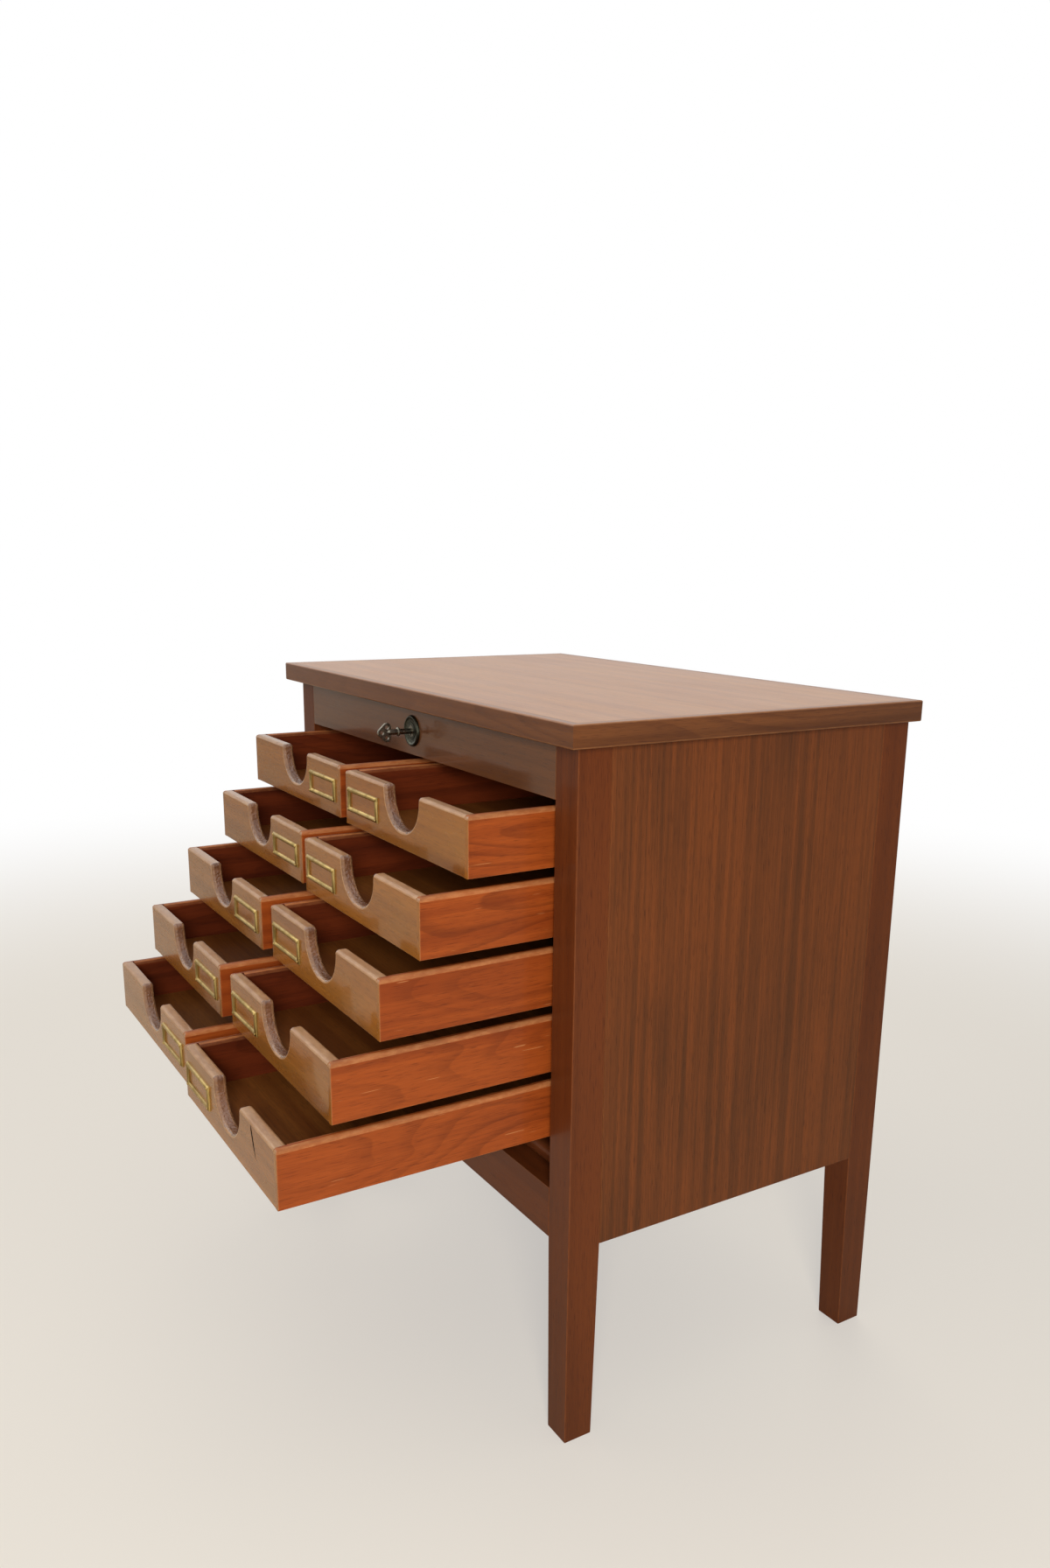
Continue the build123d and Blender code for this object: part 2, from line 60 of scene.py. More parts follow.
MM = 0.001
NEAR = 0.1 * MM                    # places that are closer than this count as the same
GRAIN = "grain"                    # of the vertices: place along, across and through the board
WEAR = "wear"                      # of the faces: how far the varnish is rubbed off
WHITE = (1.0, 1.0, 1.0, 1.0)
TIMBER = 9.0                       # size of the timber field that the boards are cut from
SHARP = math.radians(20)           # edges that are flatter than this aren't rounded

logging.basicConfig(level=logging.INFO, format="%(name)s: %(message)s")
log = logging.getLogger("cabinet")

Point = tuple[float, float]
Triple = tuple[float, float, float]
Socket = bpy.types.NodeSocket
Material = bpy.types.Material
Shape = bmesh.types.BMesh
Edge = bmesh.types.BMEdge
Vertex = bmesh.types.BMVert
Inputs = dict[int | str, object]


class Axis(Enum):
    """The three directions of the frame, by their place in a vector."""

    X = 0
    Y = 1
    Z = 2


class Column(Enum):
    """The two columns of drawers, with the sign of their X."""

    LEFT = -1
    RIGHT = 1


ROWS = 5
CRACKED = (Column.RIGHT, 5)        # the drawer with a crack in its front


def colour(code: str) -> tuple[float, float, float, float]:
    """Turn a display colour such as "8A4B2C" into the linear colour that a shader takes.

    Args:
        code: Six hexadecimal digits.

    Returns:
        Linear red, green, blue and an alpha of 1.
    """
    parts = [int(code[start:start + 2], 16) / 255 for start in (0, 2, 4)]
    linear = [part / 12.92 if part <= 0.04045 else ((part + 0.055) / 1.055) ** 2.4
              for part in parts]
    return linear[0], linear[1], linear[2], 1.0


# --- Node trees ----------------------------------------------------------------------------------


class Sheet:
    """Short hand for building a shader or geometry tree."""

    def __init__(self, tree: bpy.types.NodeTree) -> None:
        """Keep the tree that the nodes go into."""
        self.tree = tree

    def set(self, socket: Socket, value: object) -> None:
        """Feed an input socket.

        Args:
            socket: The input.
            value: A value, or an output socket that is linked to it.
        """
        if isinstance(value, Socket):
            self.tree.links.new(value, socket)
        else:
            socket.default_value = value

    def add(self, kind: str, inputs: Inputs | None = None, **settings: object) -> bpy.types.Node:
        """Add a node.

        Args:
            kind: Blender's identifier of the node.
            inputs: A value or an output socket for each named or numbered input.
            settings: Properties of the node.

        Returns:
            The new node.
        """
        node = self.tree.nodes.new(kind)
        for name, value in settings.items():
            setattr(node, name, value)
        for name, value in (inputs or {}).items():
            self.set(node.inputs[name], value)
        return node

    def out(self, kind: str, inputs: Inputs | None = None, **settings: object) -> Socket:
        """Add a node as add does, and return its first output."""
        return self.add(kind, inputs, **settings).outputs[0]

    def math(self, operation: str, *values: object, clamp: bool = False) -> Socket:
        """Add a Math node and return its output."""
        return self.out("ShaderNodeMath", dict(enumerate(values)), operation=operation,
                        use_clamp=clamp)

    def times(self, first: object, second: object) -> Socket:
        """The product of two numbers."""
        return self.math("MULTIPLY", first, second)

    def vector(self, operation: str, *values: object) -> Socket:
        """Add a Vector Math node and return its vector."""
        return self.out("ShaderNodeVectorMath", dict(enumerate(values)), operation=operation)

    def noise(self, place: Socket, scale: float, detail: float = 2.0,
              roughness: float = 0.5) -> Socket:
        """Add a noise texture and return its value, about 0.25 to 0.75."""
        return self.out("ShaderNodeTexNoise", {
            "Vector": place, "Scale": scale, "Detail": detail, "Roughness": roughness})

    def spread(self, value: Socket, low: float, high: float,
               to_low: float = 0.0, to_high: float = 1.0) -> Socket:
        """Stretch the range low to high over to_low to to_high, with soft ends."""
        return self.out("ShaderNodeMapRange", {
            "Value": value, "From Min": low, "From Max": high,
            "To Min": to_low, "To Max": to_high}, interpolation_type="SMOOTHSTEP")

    def blend(self, amount: object, first: object, second: object) -> Socket:
        """Mix two colours.

        Args:
            amount: Share of the second one.
            first: A colour or a colour socket.
            second: A colour or a colour socket.

        Returns:
            The mixed colour.
        """
        node = self.add("ShaderNodeMix", data_type="RGBA")
        for name, value in (("Factor_Float", amount), ("A_Color", first), ("B_Color", second)):
            self.set(next(socket for socket in node.inputs if socket.identifier == name), value)
        return next(socket for socket in node.outputs if socket.identifier == "Result_Color")

    def stain(self, tone: object, code: str, amount: Socket, strength: float) -> Socket:
        """Lay a display colour over a tone, by an amount times a strength."""
        return self.blend(self.times(amount, strength), tone, colour(code))


def new_material(name: str) -> tuple[Material, Sheet]:
    """Start an empty node material.

    Args:
        name: Name of the material.

    Returns:
        The material and the sheet for its nodes.
    """
    material = bpy.data.materials.new(name)
    material.use_nodes = True
    material.node_tree.nodes.clear()
    return material, Sheet(material.node_tree)


def close_material(sheet: Sheet, shader: Socket) -> None:
    """Connect a shader to the material's output."""
    sheet.add("ShaderNodeOutputMaterial", {"Surface": shader})


def new_tree(name: str, inputs: dict[str, str]) -> tuple[Sheet, bpy.types.NodeOutputs]:
    """Start a geometry tree.

    Args:
        name: Name of the tree.
        inputs: The kind of each named input, such as Float.

    Returns:
        The sheet for its nodes, and the tree's inputs to read from.
    """
    tree = bpy.data.node_groups.new(name, "GeometryNodeTree")
    for label, kind in inputs.items():
        tree.interface.new_socket(label, in_out="INPUT", socket_type=f"NodeSocket{kind}")
    tree.interface.new_socket("Geometry", in_out="OUTPUT", socket_type="NodeSocketGeometry")
    sheet = Sheet(tree)
    return sheet, sheet.add("NodeGroupInput").outputs


def close_tree(sheet: Sheet, geometry: Socket, material: Socket) -> bpy.types.NodeTree:
    """Make instances real, give them their material and connect the output.

    Args:
        sheet: The sheet of the tree.
        geometry: What the tree has made.
        material: The finish of it.

    Returns:
        The finished tree.
    """
    real = sheet.out("GeometryNodeRealizeInstances", {"Geometry": geometry})
    dressed = sheet.out("GeometryNodeSetMaterial", {"Geometry": real, "Material": material})
    sheet.add("NodeGroupOutput", {0: dressed})
    return sheet.tree


@dataclass(frozen=True)
class Streaks:
    """A noise that is stretched along the grain of a board."""

    run: float                     # changes per metre along the grain
    across: float                  # changes per metre across it
    detail: float = 2.0
    roughness: float = 0.5
    span: Point | None = None      # values of the noise where the streaks start and are full
    reach: Point = (0.0, 1.0)      # what the streaks amount to at those two

    def draw(self, s: Sheet, place: Socket) -> Socket:
        """Add the streaks to a material.

        Args:
            s: The sheet of the material.
            place: The grain coordinates.

        Returns:
            The plain noise, or with a span how strong the streaks are.
        """
        stretched = s.vector("MULTIPLY", place, (self.run, self.across, self.across))
        value = s.noise(stretched, 1.0, self.detail, self.roughness)
        return s.spread(value, *self.span, *self.reach) if self.span else value


WANDER = Streaks(1.6, 9.0, 3.0)
WANDER_REACH = 16 * MM
FIBRE = Streaks(11.0, 520.0, 3.0, 0.62, (0.3, 0.7))
BLOTCH = Streaks(4.0, 11.0, 4.0, span=(0.3, 0.7))
BLOTCH_MIX = 0.28
LIGHT_SHARE = 0.8                  # of the light stripes, against the dark ones
CONTOURS = Streaks(3.0, 15.0, 1.5, 0.4)
GROWTH_RISE = (0.45, 0.93)         # slow darkening of a growth line, as shares of its width
GROWTH_FALL = (1.0, 0.95)          # and its quick end
FIGURED = Streaks(2.2, 5.0, 1.0, span=(0.4, 0.62), reach=(0.25, 1.0))
PORE = Streaks(70.0, 2300.0, 1.0, 0.4, (0.58, 0.7))
FILM = Streaks(9.0, 26.0, 5.0, 0.6, (0.3, 0.7))
SCRATCH = Streaks(34.0, 640.0, 0.0, span=(0.81, 0.85))
DRIPS = Streaks(360.0, 360.0)
FIBRE_RELIEF = 0.35                # height of the fibres, against the depth of the pores
PORE_DEPTH = 0.12 * MM
DRIP_DEPTH = 1.2 * MM
WORN_ROUGHNESS = 0.2
VARNISH_IOR = 1.5


@dataclass(frozen=True)
class WoodFinish:
    """A varnished timber or veneer, its figure drawn along the grain of each board.

    The grain coordinates come from the boards' own attribute, or from Object coordinates for
    the nodes that are carried over as they are.
    """

    name: str
    dark: str
    mid: str
    light: str
    line: str                      # colour of the pores
    worn: str                      # colour of the bare arrises
    ribbon: float = 45.0           # stripes per metre across the grain
    ribbon_run: float = 0.9        # changes per metre along the grain
    ribbon_mix: float = 0.6
    figure: float = 0.0            # strength of the growth lines
    figure_rings: float = 12.0     # growth lines in the whole span of the field
    fibre_mix: float = 0.28
    pores: float = 0.5
    haze: str = "B0A090"
    haze_mix: float = 0.0          # dull, scuffed varnish
    scuffs: float = 0.0            # short pale scratches along the grain
    gloss: float = 0.32            # roughness of the wood itself
    gloss_play: float = 0.06       # how much the roughness varies
    specular: float = 0.3
    coat: float = 0.4
    coat_roughness: float = 0.1
    wear_mix: float = 0.5
    wear_scale: float = 260.0      # patches per metre on the rubbed arrises
    bump: float = 0.25
    drips: float = 0.0             # runs of thick varnish
    along: Axis | None = None      # set for a carried-over node: the direction of its grain

    def build(self) -> Material:
        """Build the material.

        Returns:
            The new material.
        """
        material, s = new_material(self.name)
        base = self.grain(s)
        # slow wander of the lines, so that no stripe is ruler straight
        parts = s.add("ShaderNodeSeparateXYZ", {0: base}).outputs
        shifted = s.math("MULTIPLY_ADD", WANDER.draw(s, base), WANDER_REACH, parts[1])
        bent = s.out("ShaderNodeCombineXYZ", {0: parts[0], 1: shifted, 2: parts[2]})

        stripes = Streaks(self.ribbon_run, self.ribbon, 2.5, 0.55, (0.34, 0.66))
        ribbon = stripes.draw(s, bent)
        fibre = FIBRE.draw(s, bent)
        tone = s.stain(colour(self.mid), self.dark, ribbon, self.ribbon_mix)
        tone = s.stain(tone, self.light, s.math("SUBTRACT", 1.0, ribbon),
                       self.ribbon_mix * LIGHT_SHARE)
        tone = s.stain(tone, self.dark, fibre, self.fibre_mix)
        tone = s.stain(tone, self.light, BLOTCH.draw(s, base), BLOTCH_MIX)
        if self.figure:
            # growth lines as the contours of a slow field, so that some close into ovals
            ring = s.math("FRACT", s.times(CONTOURS.draw(s, bent), self.figure_rings))
            line = s.times(s.spread(ring, *GROWTH_RISE), s.spread(ring, *GROWTH_FALL))
            tone = s.stain(tone, self.line, s.times(line, FIGURED.draw(s, base)), self.figure)
        pore = PORE.draw(s, bent)
        tone = s.stain(tone, self.line, pore, self.pores)
        film = FILM.draw(s, base)
        if self.haze_mix:
            tone = s.stain(tone, self.haze, film, self.haze_mix)
        if self.scuffs:
            tone = s.stain(tone, self.worn, SCRATCH.draw(s, base), self.scuffs)

        # bare, paler wood where the arrises are rubbed, broken up by noise
        rubbed = s.add("ShaderNodeAttribute", attribute_name=WEAR, attribute_type="GEOMETRY")
        patches = Streaks(self.wear_scale * 0.4, self.wear_scale, 4.0, 0.65,
                          span=(0.36, 0.7), reach=(0.5, 1.0))
        worn = s.times(s.times(rubbed.outputs["Fac"], patches.draw(s, base)), self.wear_mix)
        tone = s.blend(worn, tone, colour(self.worn))

        rough = s.math("MULTIPLY_ADD", film, self.gloss_play, self.gloss - self.gloss_play / 2)
        rough = s.math("MULTIPLY_ADD", worn, WORN_ROUGHNESS, rough, clamp=True)
        relief = s.out("ShaderNodeBump", {
            "Strength": self.bump, "Distance": PORE_DEPTH,
            "Height": s.math("SUBTRACT", s.times(fibre, FIBRE_RELIEF), pore)})
        coat_relief = {}
        if self.drips:
            relief = s.out("ShaderNodeBump", {
                "Strength": self.drips, "Distance": DRIP_DEPTH, "Height": DRIPS.draw(s, base),
                "Normal": relief})
            coat_relief = {"Coat Normal": relief}
        close_material(s, s.out("ShaderNodeBsdfPrincipled", {
            "Base Color": tone, "Roughness": rough, "Normal": relief,
            "Specular IOR Level": self.specular, "IOR": VARNISH_IOR, "Coat Weight": self.coat,
            "Coat Roughness": self.coat_roughness, "Coat IOR": VARNISH_IOR, **coat_relief}))
        return material

    def grain(self, s: Sheet) -> Socket:
        """The coordinates along, across and through the board.

        Args:
            s: The sheet of the material.

        Returns:
            A vector socket.
        """
        if self.along is None:
            return s.add("ShaderNodeAttribute", attribute_name=GRAIN,
                         attribute_type="GEOMETRY").outputs["Vector"]
        turn = {Axis.X: (0, 0, 0), Axis.Y: (0, 0, -math.pi / 2), Axis.Z: (0, math.pi / 2, 0)}
        place = s.add("ShaderNodeTexCoord").outputs["Object"]
        return s.out("ShaderNodeMapping", {"Vector": place, "Rotation": turn[self.along]})


@dataclass(frozen=True)
class MetalFinish:
    """A handled metal with fine scratches, and grime in the patches that hands miss."""

    name: str
    clean: str
    tarnish: str
    tarnish_mix: float = 0.6
    roughness: float = 0.28
    metallic: float = 1.0
    specular: float = 0.5
    scale: float = 900.0           # changes per metre
    patches: float = 0.35          # scale of the grime, against the whole
    grime: Point = (0.38, 0.66)    # values of the noise where it starts and is full
    scratches: float = 3.0         # scale of the scratches, against the whole
    polish: float = 0.06           # how much smoother the clean metal is
    dull_grime: float = 0.16       # what the grime adds to the roughness
    dull_scratches: float = 0.08   # what the scratches add
    bump: float = 0.15
    depth: float = 0.1 * MM

    def build(self) -> Material:
        """Build the material.

        Returns:
            The new material.
        """
        material, s = new_material(self.name)
        place = s.add("ShaderNodeTexCoord").outputs["Object"]
        patch = s.spread(s.noise(place, self.scale * self.patches, 4.0, 0.6), *self.grime)
        fine = s.noise(place, self.scale * self.scratches)
        rough = s.math("MULTIPLY_ADD", patch, self.dull_grime, self.roughness - self.polish)
        close_material(s, s.out("ShaderNodeBsdfPrincipled", {
            "Base Color": s.stain(colour(self.clean), self.tarnish, patch, self.tarnish_mix),
            "Roughness": s.math("MULTIPLY_ADD", fine, self.dull_scratches, rough),
            "Normal": s.out("ShaderNodeBump", {
                "Strength": self.bump, "Distance": self.depth, "Height": fine}),
            "Metallic": self.metallic, "Specular IOR Level": self.specular}))
        return material


# --- Mesh shapes ---------------------------------------------------------------------------------


def linked(name: str, data: bpy.types.ID) -> bpy.types.Object:
    """Make an object and link it to the scene.

    Args:
        name: Name of the object.
        data: Its mesh, curve, lamp or camera.

    Returns:
        The new object.
    """
    thing = bpy.data.objects.new(name, data)
    bpy.context.scene.collection.objects.link(thing)
    return thing


def mesh_of(shape: Shape, name: str) -> bpy.types.Mesh:
    """Write a shape into a new mesh and free it.

    Args:
        shape: The shape.
        name: Name of the mesh.

    Returns:
        The new mesh.
    """
    mesh = bpy.data.meshes.new(name)
    shape.to_mesh(mesh)
    shape.free()
    return mesh


def shape_of(mesh: bpy.types.Mesh) -> Shape:
    """Read a mesh as a shape, and remove it.

    Args:
        mesh: The mesh, which no object shows.

    Returns:
        A new shape.
    """
    shape = bmesh.new()
    shape.from_mesh(mesh)
    bpy.data.meshes.remove(mesh)
    return shape


def stitch(shape: Shape, first: Sequence[Vertex], second: Sequence[Vertex]) -> None:
    """Join two closed rows of vertices with faces.

    Args:
        shape: The shape that they belong to.
        first: The vertices of one row, or a single one for a pole.
        second: The vertices of the other row, or a single one.
    """
    steps = max(len(first), len(second))
    for step in range(steps):
        after = (step + 1) % steps
        corners = dict.fromkeys((first[step % len(first)], first[after % len(first)],
                                 second[after % len(second)], second[step % len(second)]))
        shape.faces.new(list(corners))


def outward(shape: Shape) -> Shape:
    """Turn the faces of a closed shape outwards, and return it."""
    bmesh.ops.recalc_face_normals(shape, faces=shape.faces)
    return shape


def rectangle(low: Point, high: Point, inset: float = 0.0) -> list[Point]:
    """The corners of a rectangle, drawn in by an inset."""
    left, bottom, right, top = low[0] + inset, low[1] + inset, high[0] - inset, high[1] - inset
    return [(left, bottom), (right, bottom), (right, top), (left, top)]


def box_shape(low: Sequence[float], high: Sequence[float]) -> Shape:
    """Make a box between two corners.

    Args:
        low: Lowest corner.
        high: Highest corner.

    Returns:
        A new shape.
    """
    shape = bmesh.new()
    bmesh.ops.create_cube(shape, size=1.0)
    low_v, high_v = Vector(low), Vector(high)
    for vertex in shape.verts:
        share = vertex.co + Vector((0.5, 0.5, 0.5))
        vertex.co = Vector(a + (b - a) * t for a, b, t in zip(low_v, high_v, share))
    return shape


def slab_shape(outline: Sequence[Point], flat: Axis, start: float, end: float) -> Shape:
    """Make a slab with a given outline.

    Args:
        outline: Corners in the two directions other than flat, in the order X, Y, Z.
        flat: Direction of the slab's thickness.
        start: Lower face along flat.
        end: Upper face along flat.

    Returns:
        A new shape with its faces pointing outwards.
    """
    def place(corner: Point, level: float) -> Vector:
        """Put an outline corner at a level."""
        return Vector((*corner[:flat.value], level, *corner[flat.value:]))

    shape = bmesh.new()
    lower = [shape.verts.new(place(corner, start)) for corner in outline]
    upper = [shape.verts.new(place(corner, end)) for corner in outline]
    shape.faces.new(lower)
    shape.faces.new(upper)
    stitch(shape, lower, upper)
    return outward(shape)


def turned_shape(profile: Sequence[Point], centre: Sequence[float], steps: int = 64,
                 ring: bool = False) -> Shape:
    """Turn a profile round an axis along Y.

    Args:
        profile: Pairs of radius and Y, in order.
        centre: The point that Y and the radii count from.
        steps: Facets in a full turn.
        ring: True if the profile closes on itself, as for a rosette with a bore.

    Returns:
        A new shape, closed at both ends.
    """
    shape = bmesh.new()
    origin = Vector(centre)
    rows: list[list[Vertex]] = []
    for radius, level in profile:
        if not radius:
            rows.append([shape.verts.new(origin + Vector((0, level, 0)))])
            continue
        rows.append([shape.verts.new(origin + Vector((
            radius * math.cos(math.tau * step / steps), level,
            radius * math.sin(math.tau * step / steps)))) for step in range(steps)])
    if ring:
        rows.append(rows[0])
    for first, second in zip(rows, rows[1:]):
        stitch(shape, first, second)
    return outward(shape)


def near(first: float, second: float) -> bool:
    """True if two places are the same."""
    return abs(first - second) < NEAR


def runs(edge: Edge, axis: Axis, share: float = 0.999) -> bool:
    """True if more than this share of an edge's length lies along an axis."""
    direction = edge.verts[1].co - edge.verts[0].co
    return abs(direction[axis.value]) > share * direction.length


def middle(edge: Edge) -> Vector:
    """The middle of an edge."""
    return (edge.verts[0].co + edge.verts[1].co) / 2


def ease(shape: Shape, radius: float, segments: int = 2,
         chosen: Callable[[Edge], bool] = lambda edge: True, wear: float = 1.0) -> None:
    """Round chosen edges, and mark the new faces as handled.

    Args:
        shape: The shape.
        radius: Radius of the rounding.
        segments: Facets of the rounding.
        chosen: Tells which edges are rounded.
        wear: How much of the varnish is rubbed off there.
    """
    layer = shape.faces.layers.float.get(WEAR) or shape.faces.layers.float.new(WEAR)
    edges = [edge for edge in shape.edges if chosen(edge) and not edge.is_boundary
             and edge.calc_face_angle(0) > SHARP]
    made = bmesh.ops.bevel(shape, geom=edges, offset=radius, offset_type="OFFSET",
                           segments=segments, profile=0.5, affect="EDGES", clamp_overlap=True)
    for face in made["faces"]:
        face[layer] = wear


class Piece:
    """A mesh that is put together from shapes and becomes one object."""

    def __init__(self, name: str) -> None:
        """Start an empty piece.

        Args:
            name: Name of the object that it becomes.
        """
        self.name = name
        self.body = bmesh.new()
        self.body.verts.layers.float_vector.new(GRAIN)
        self.body.faces.layers.float.new(WEAR)

    def put(self, shape: Shape, grain: Axis | None = None, finish: int = 0,
            tag: str = "") -> "Piece":
        """Add a shape, with its grain coordinates.

        Args:
            shape: The shape; it is freed.
            grain: Direction of the grain, or None for metal.
            finish: Slot of the material.
            tag: Makes the figure of this board differ from the others of the piece.

        Returns:
            The piece itself.
        """
        if grain is not None:
            layers = shape.verts.layers.float_vector
            layer = layers.get(GRAIN) or layers.new(GRAIN)
            draw = random.Random(zlib.crc32((self.name + tag).encode()))
            offset = Vector([draw.uniform(0, TIMBER) for _ in Axis])
            order = {Axis.X: (0, 2, 1), Axis.Y: (1, 2, 0), Axis.Z: (2, 0, 1)}[grain]
            for vertex in shape.verts:
                vertex[layer] = Vector(vertex.co[index] for index in order) + offset
        for face in shape.faces:
            face.material_index = finish
            face.smooth = True
        mesh = mesh_of(shape, "part")
        self.body.from_mesh(mesh)
        bpy.data.meshes.remove(mesh)
        return self

    def settle(self, body: str, slot: str, node: str, *materials: Material,
               crease: float = 32.0) -> None:
        """Turn the piece into an object that rides on its body and stands for its node.

        Args:
            body: The body of the frame.
            slot: The record's material slot; not used.
            node: The node that the piece stands for.
            materials: Materials in the order of the finish slots.
            crease: Angle in degrees over which an edge stays sharp.
        """
        mesh = mesh_of(self.body, self.name)
        for material in materials:
            mesh.materials.append(material)
        mesh.set_sharp_from_angle(angle=math.radians(crease))
        thing = linked(self.name, mesh)
        flat = thing.modifiers.new("flat_faces", "WEIGHTED_NORMAL")
        flat.keep_sharp = True
        flat.weight = 80
        baked = evaluated(thing)
        thing.modifiers.clear()
        thing.data = baked
        bpy.data.meshes.remove(mesh)
        baked.name = self.name
        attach(thing, body)
        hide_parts(node)
        log.info("%s: %d faces on %s", thing.name, len(baked.polygons), body)


def evaluated(thing: bpy.types.Object) -> bpy.types.Mesh:
    """The mesh of an object with its modifiers."""
    graph = bpy.context.evaluated_depsgraph_get()
    return bpy.data.meshes.new_from_object(
        thing.evaluated_get(graph), preserve_all_data_layers=True, depsgraph=graph)


def grown(name: str, tree: bpy.types.NodeTree, inputs: Inputs) -> Shape:
    """Run a geometry tree and keep its result.

    Args:
        name: Name of the object that it runs on, which is removed again.
        tree: The tree.
        inputs: A value for each of the tree's inputs, by name.

    Returns:
        A new shape.
    """
    thing = linked(name, bpy.data.meshes.new(name))
    modifier = thing.modifiers.new("growth", "NODES")
    modifier.node_group = tree
    for item in tree.interface.items_tree:
        if item.item_type == "SOCKET" and item.in_out == "INPUT" and item.name in inputs:
            modifier[item.identifier] = inputs[item.name]
    mesh = evaluated(thing)
    bpy.data.objects.remove(thing)
    return shape_of(mesh)


def hollowed(shape: Shape, tool: Shape) -> Shape:
    """Cut a closed shape out of another.

    Args:
        shape: The shape that is cut; it is freed.
        tool: The shape that is taken away; it is freed.

    Returns:
        A new shape.
    """
    board, cutter = (linked("cut", mesh_of(part, "cut")) for part in (shape, tool))
    modifier = board.modifiers.new("cut", "BOOLEAN")
    modifier.object = cutter
    modifier.operation = "DIFFERENCE"
    modifier.solver = "EXACT"
    mesh = evaluated(board)
    bpy.data.objects.remove(board)
    bpy.data.objects.remove(cutter)
    return shape_of(mesh)


# --- Finishes of this cabinet --------------------------------------------------------------------


RECIPES: dict[str, WoodFinish | MetalFinish] = {
    "case": WoodFinish(
        "ribbon_mahogany", dark="462916", mid="643519", light="82441E", line="331B0E",
        worn="9A6238", ribbon=125.0, ribbon_run=1.2, ribbon_mix=0.52, fibre_mix=0.5,
        gloss=0.42, specular=0.15, coat=0.1, coat_roughness=0.2, wear_mix=0.25),
    "leg": WoodFinish(
        "leg_mahogany", dark="4C2410", mid="5E2E14", light="703818", line="2E130C",
        worn="8F5430", ribbon=60.0, ribbon_mix=0.45, gloss=0.4, specular=0.12, coat=0.16,
        coat_roughness=0.09, wear_mix=0.35),
    "rail": WoodFinish(
        "rail_mahogany", dark="4A260F", mid="5E3417", light="704320", line="2E170C",
        worn="8F5A38", ribbon=70.0, ribbon_mix=0.5, gloss=0.38, specular=0.2, coat=0.7,
        wear_mix=0.35),
    # top veneer: a pale wood, lightened and warmed further as a painted sheen standing in for the
    # glare on the top
    "top": WoodFinish(
        "top_mahogany", dark="94561E", mid="B06E28", light="C6883A", line="5E3414",
        worn="B07A4C", ribbon=50.0, ribbon_run=0.5, ribbon_mix=0.4, fibre_mix=0.6,
        gloss=0.42, gloss_play=0.03, specular=0.52, coat=0.32, coat_roughness=0.32,
        wear_mix=0.3, bump=0.12),
    "lipping": WoodFinish(
        "lipping_mahogany", dark="4C2812", mid="60361A", light="764624", line="38180C",
        worn="A06A40", ribbon=90.0, figure=0.3, gloss=0.36, specular=0.2, coat=0.25,
        coat_roughness=0.12, wear_mix=0.45),
    # the lippings' upward faces: a lighter copy of the lipping wood, a painted sheen for the light
    # that falls on them
    "lipping_top": WoodFinish(
        "lipping_top_mahogany", dark="744218", mid="8E5420", light="A46C30", line="4E2A12",
        worn="A9744A", ribbon=90.0, ribbon_mix=0.5, gloss=0.42, gloss_play=0.03,
        specular=0.46, coat=0.28, coat_roughness=0.32, wear_mix=0.4, bump=0.12),
    "side": WoodFinish(
        "drawer_side_cedar", dark="702C0E", mid="954116", light="AA541F", line="4E1D0A",
        worn="D79A62", ribbon=60.0, ribbon_mix=0.55, fibre_mix=0.4, figure=0.4, scuffs=0.4,
        gloss=0.42, specular=0.15, coat=0.2, coat_roughness=0.14, wear_mix=0.4),
    # inner faces of the drawer boxes: a darker copy of the side cedar, painted shade inside the
    # drawers
    "inside": WoodFinish(
        "drawer_inside_cedar", dark="3C1508", mid="5A220F", light="763214", line="330F05",
        worn="A8683C", ribbon=60.0, ribbon_mix=0.5, figure=0.3, gloss=0.45, specular=0.15,
        coat=0.15, coat_roughness=0.2, wear_mix=0.3),
    "front": WoodFinish(
        "drawer_front_mahogany", dark="764218", mid="98581E", light="AE6F2C", line="4A2D17",
        worn="C9A078", ribbon=70.0, ribbon_mix=0.5, fibre_mix=0.35, haze="947038",
        haze_mix=0.2, gloss=0.26, specular=0.16, coat=0.44, coat_roughness=0.06,
        wear_mix=0.42, wear_scale=150.0),
    "notch": WoodFinish(
        "notch_edge_varnish", dark="4E2C18", mid="70462E", light="8E6244", line="3A2012",
        worn="B58A60", ribbon=90.0, ribbon_mix=0.5, gloss=0.16, coat=0.75,
        coat_roughness=0.03, wear_mix=0.2, drips=1.0),
    # tray plywood: a plywood brown, darkened in part as painted shade inside the drawers
    "tray": WoodFinish(
        "tray_plywood", dark="56290F", mid="784219", light="8E5826", line="331808",
        worn="8F6A48", ribbon=40.0, fibre_mix=0.45, gloss=0.5, specular=0.15, coat=0.0,
        wear_mix=0.0),
    # partition and runners: a dark timber, kept dark in part as painted shade for the gaps between
    # the rows
    "inner": WoodFinish(
        "inner_timber", dark="3A1E12", mid="4E2A1A", light="5F3724", line="241109",
        worn="5F3724", gloss=0.55, coat=0.0, wear_mix=0.0, along=Axis.Y),
    # the crack's painted shadow, drawn with the metal recipe's two dark colours
    "crack": MetalFinish(
        "crack_shadow", clean="1A0E07", tarnish="2A180C", roughness=0.8, metallic=0.0,
        specular=0.0),
    "brass": MetalFinish(
        "card_holder_brass", clean="BCA062", tarnish="7C6634", scale=260.0, roughness=0.33),
    "bronze": MetalFinish(
        "lock_bronze", clean="4A4A3E", tarnish="23231C", tarnish_mix=0.7, roughness=0.36),
    "nickel": MetalFinish(
        "key_nickel", clean="948E80", tarnish="3A352B", tarnish_mix=0.75),
    "steel": MetalFinish(
        "bar_steel", clean="9A9A96", tarnish="5E5A54", roughness=0.38),
}


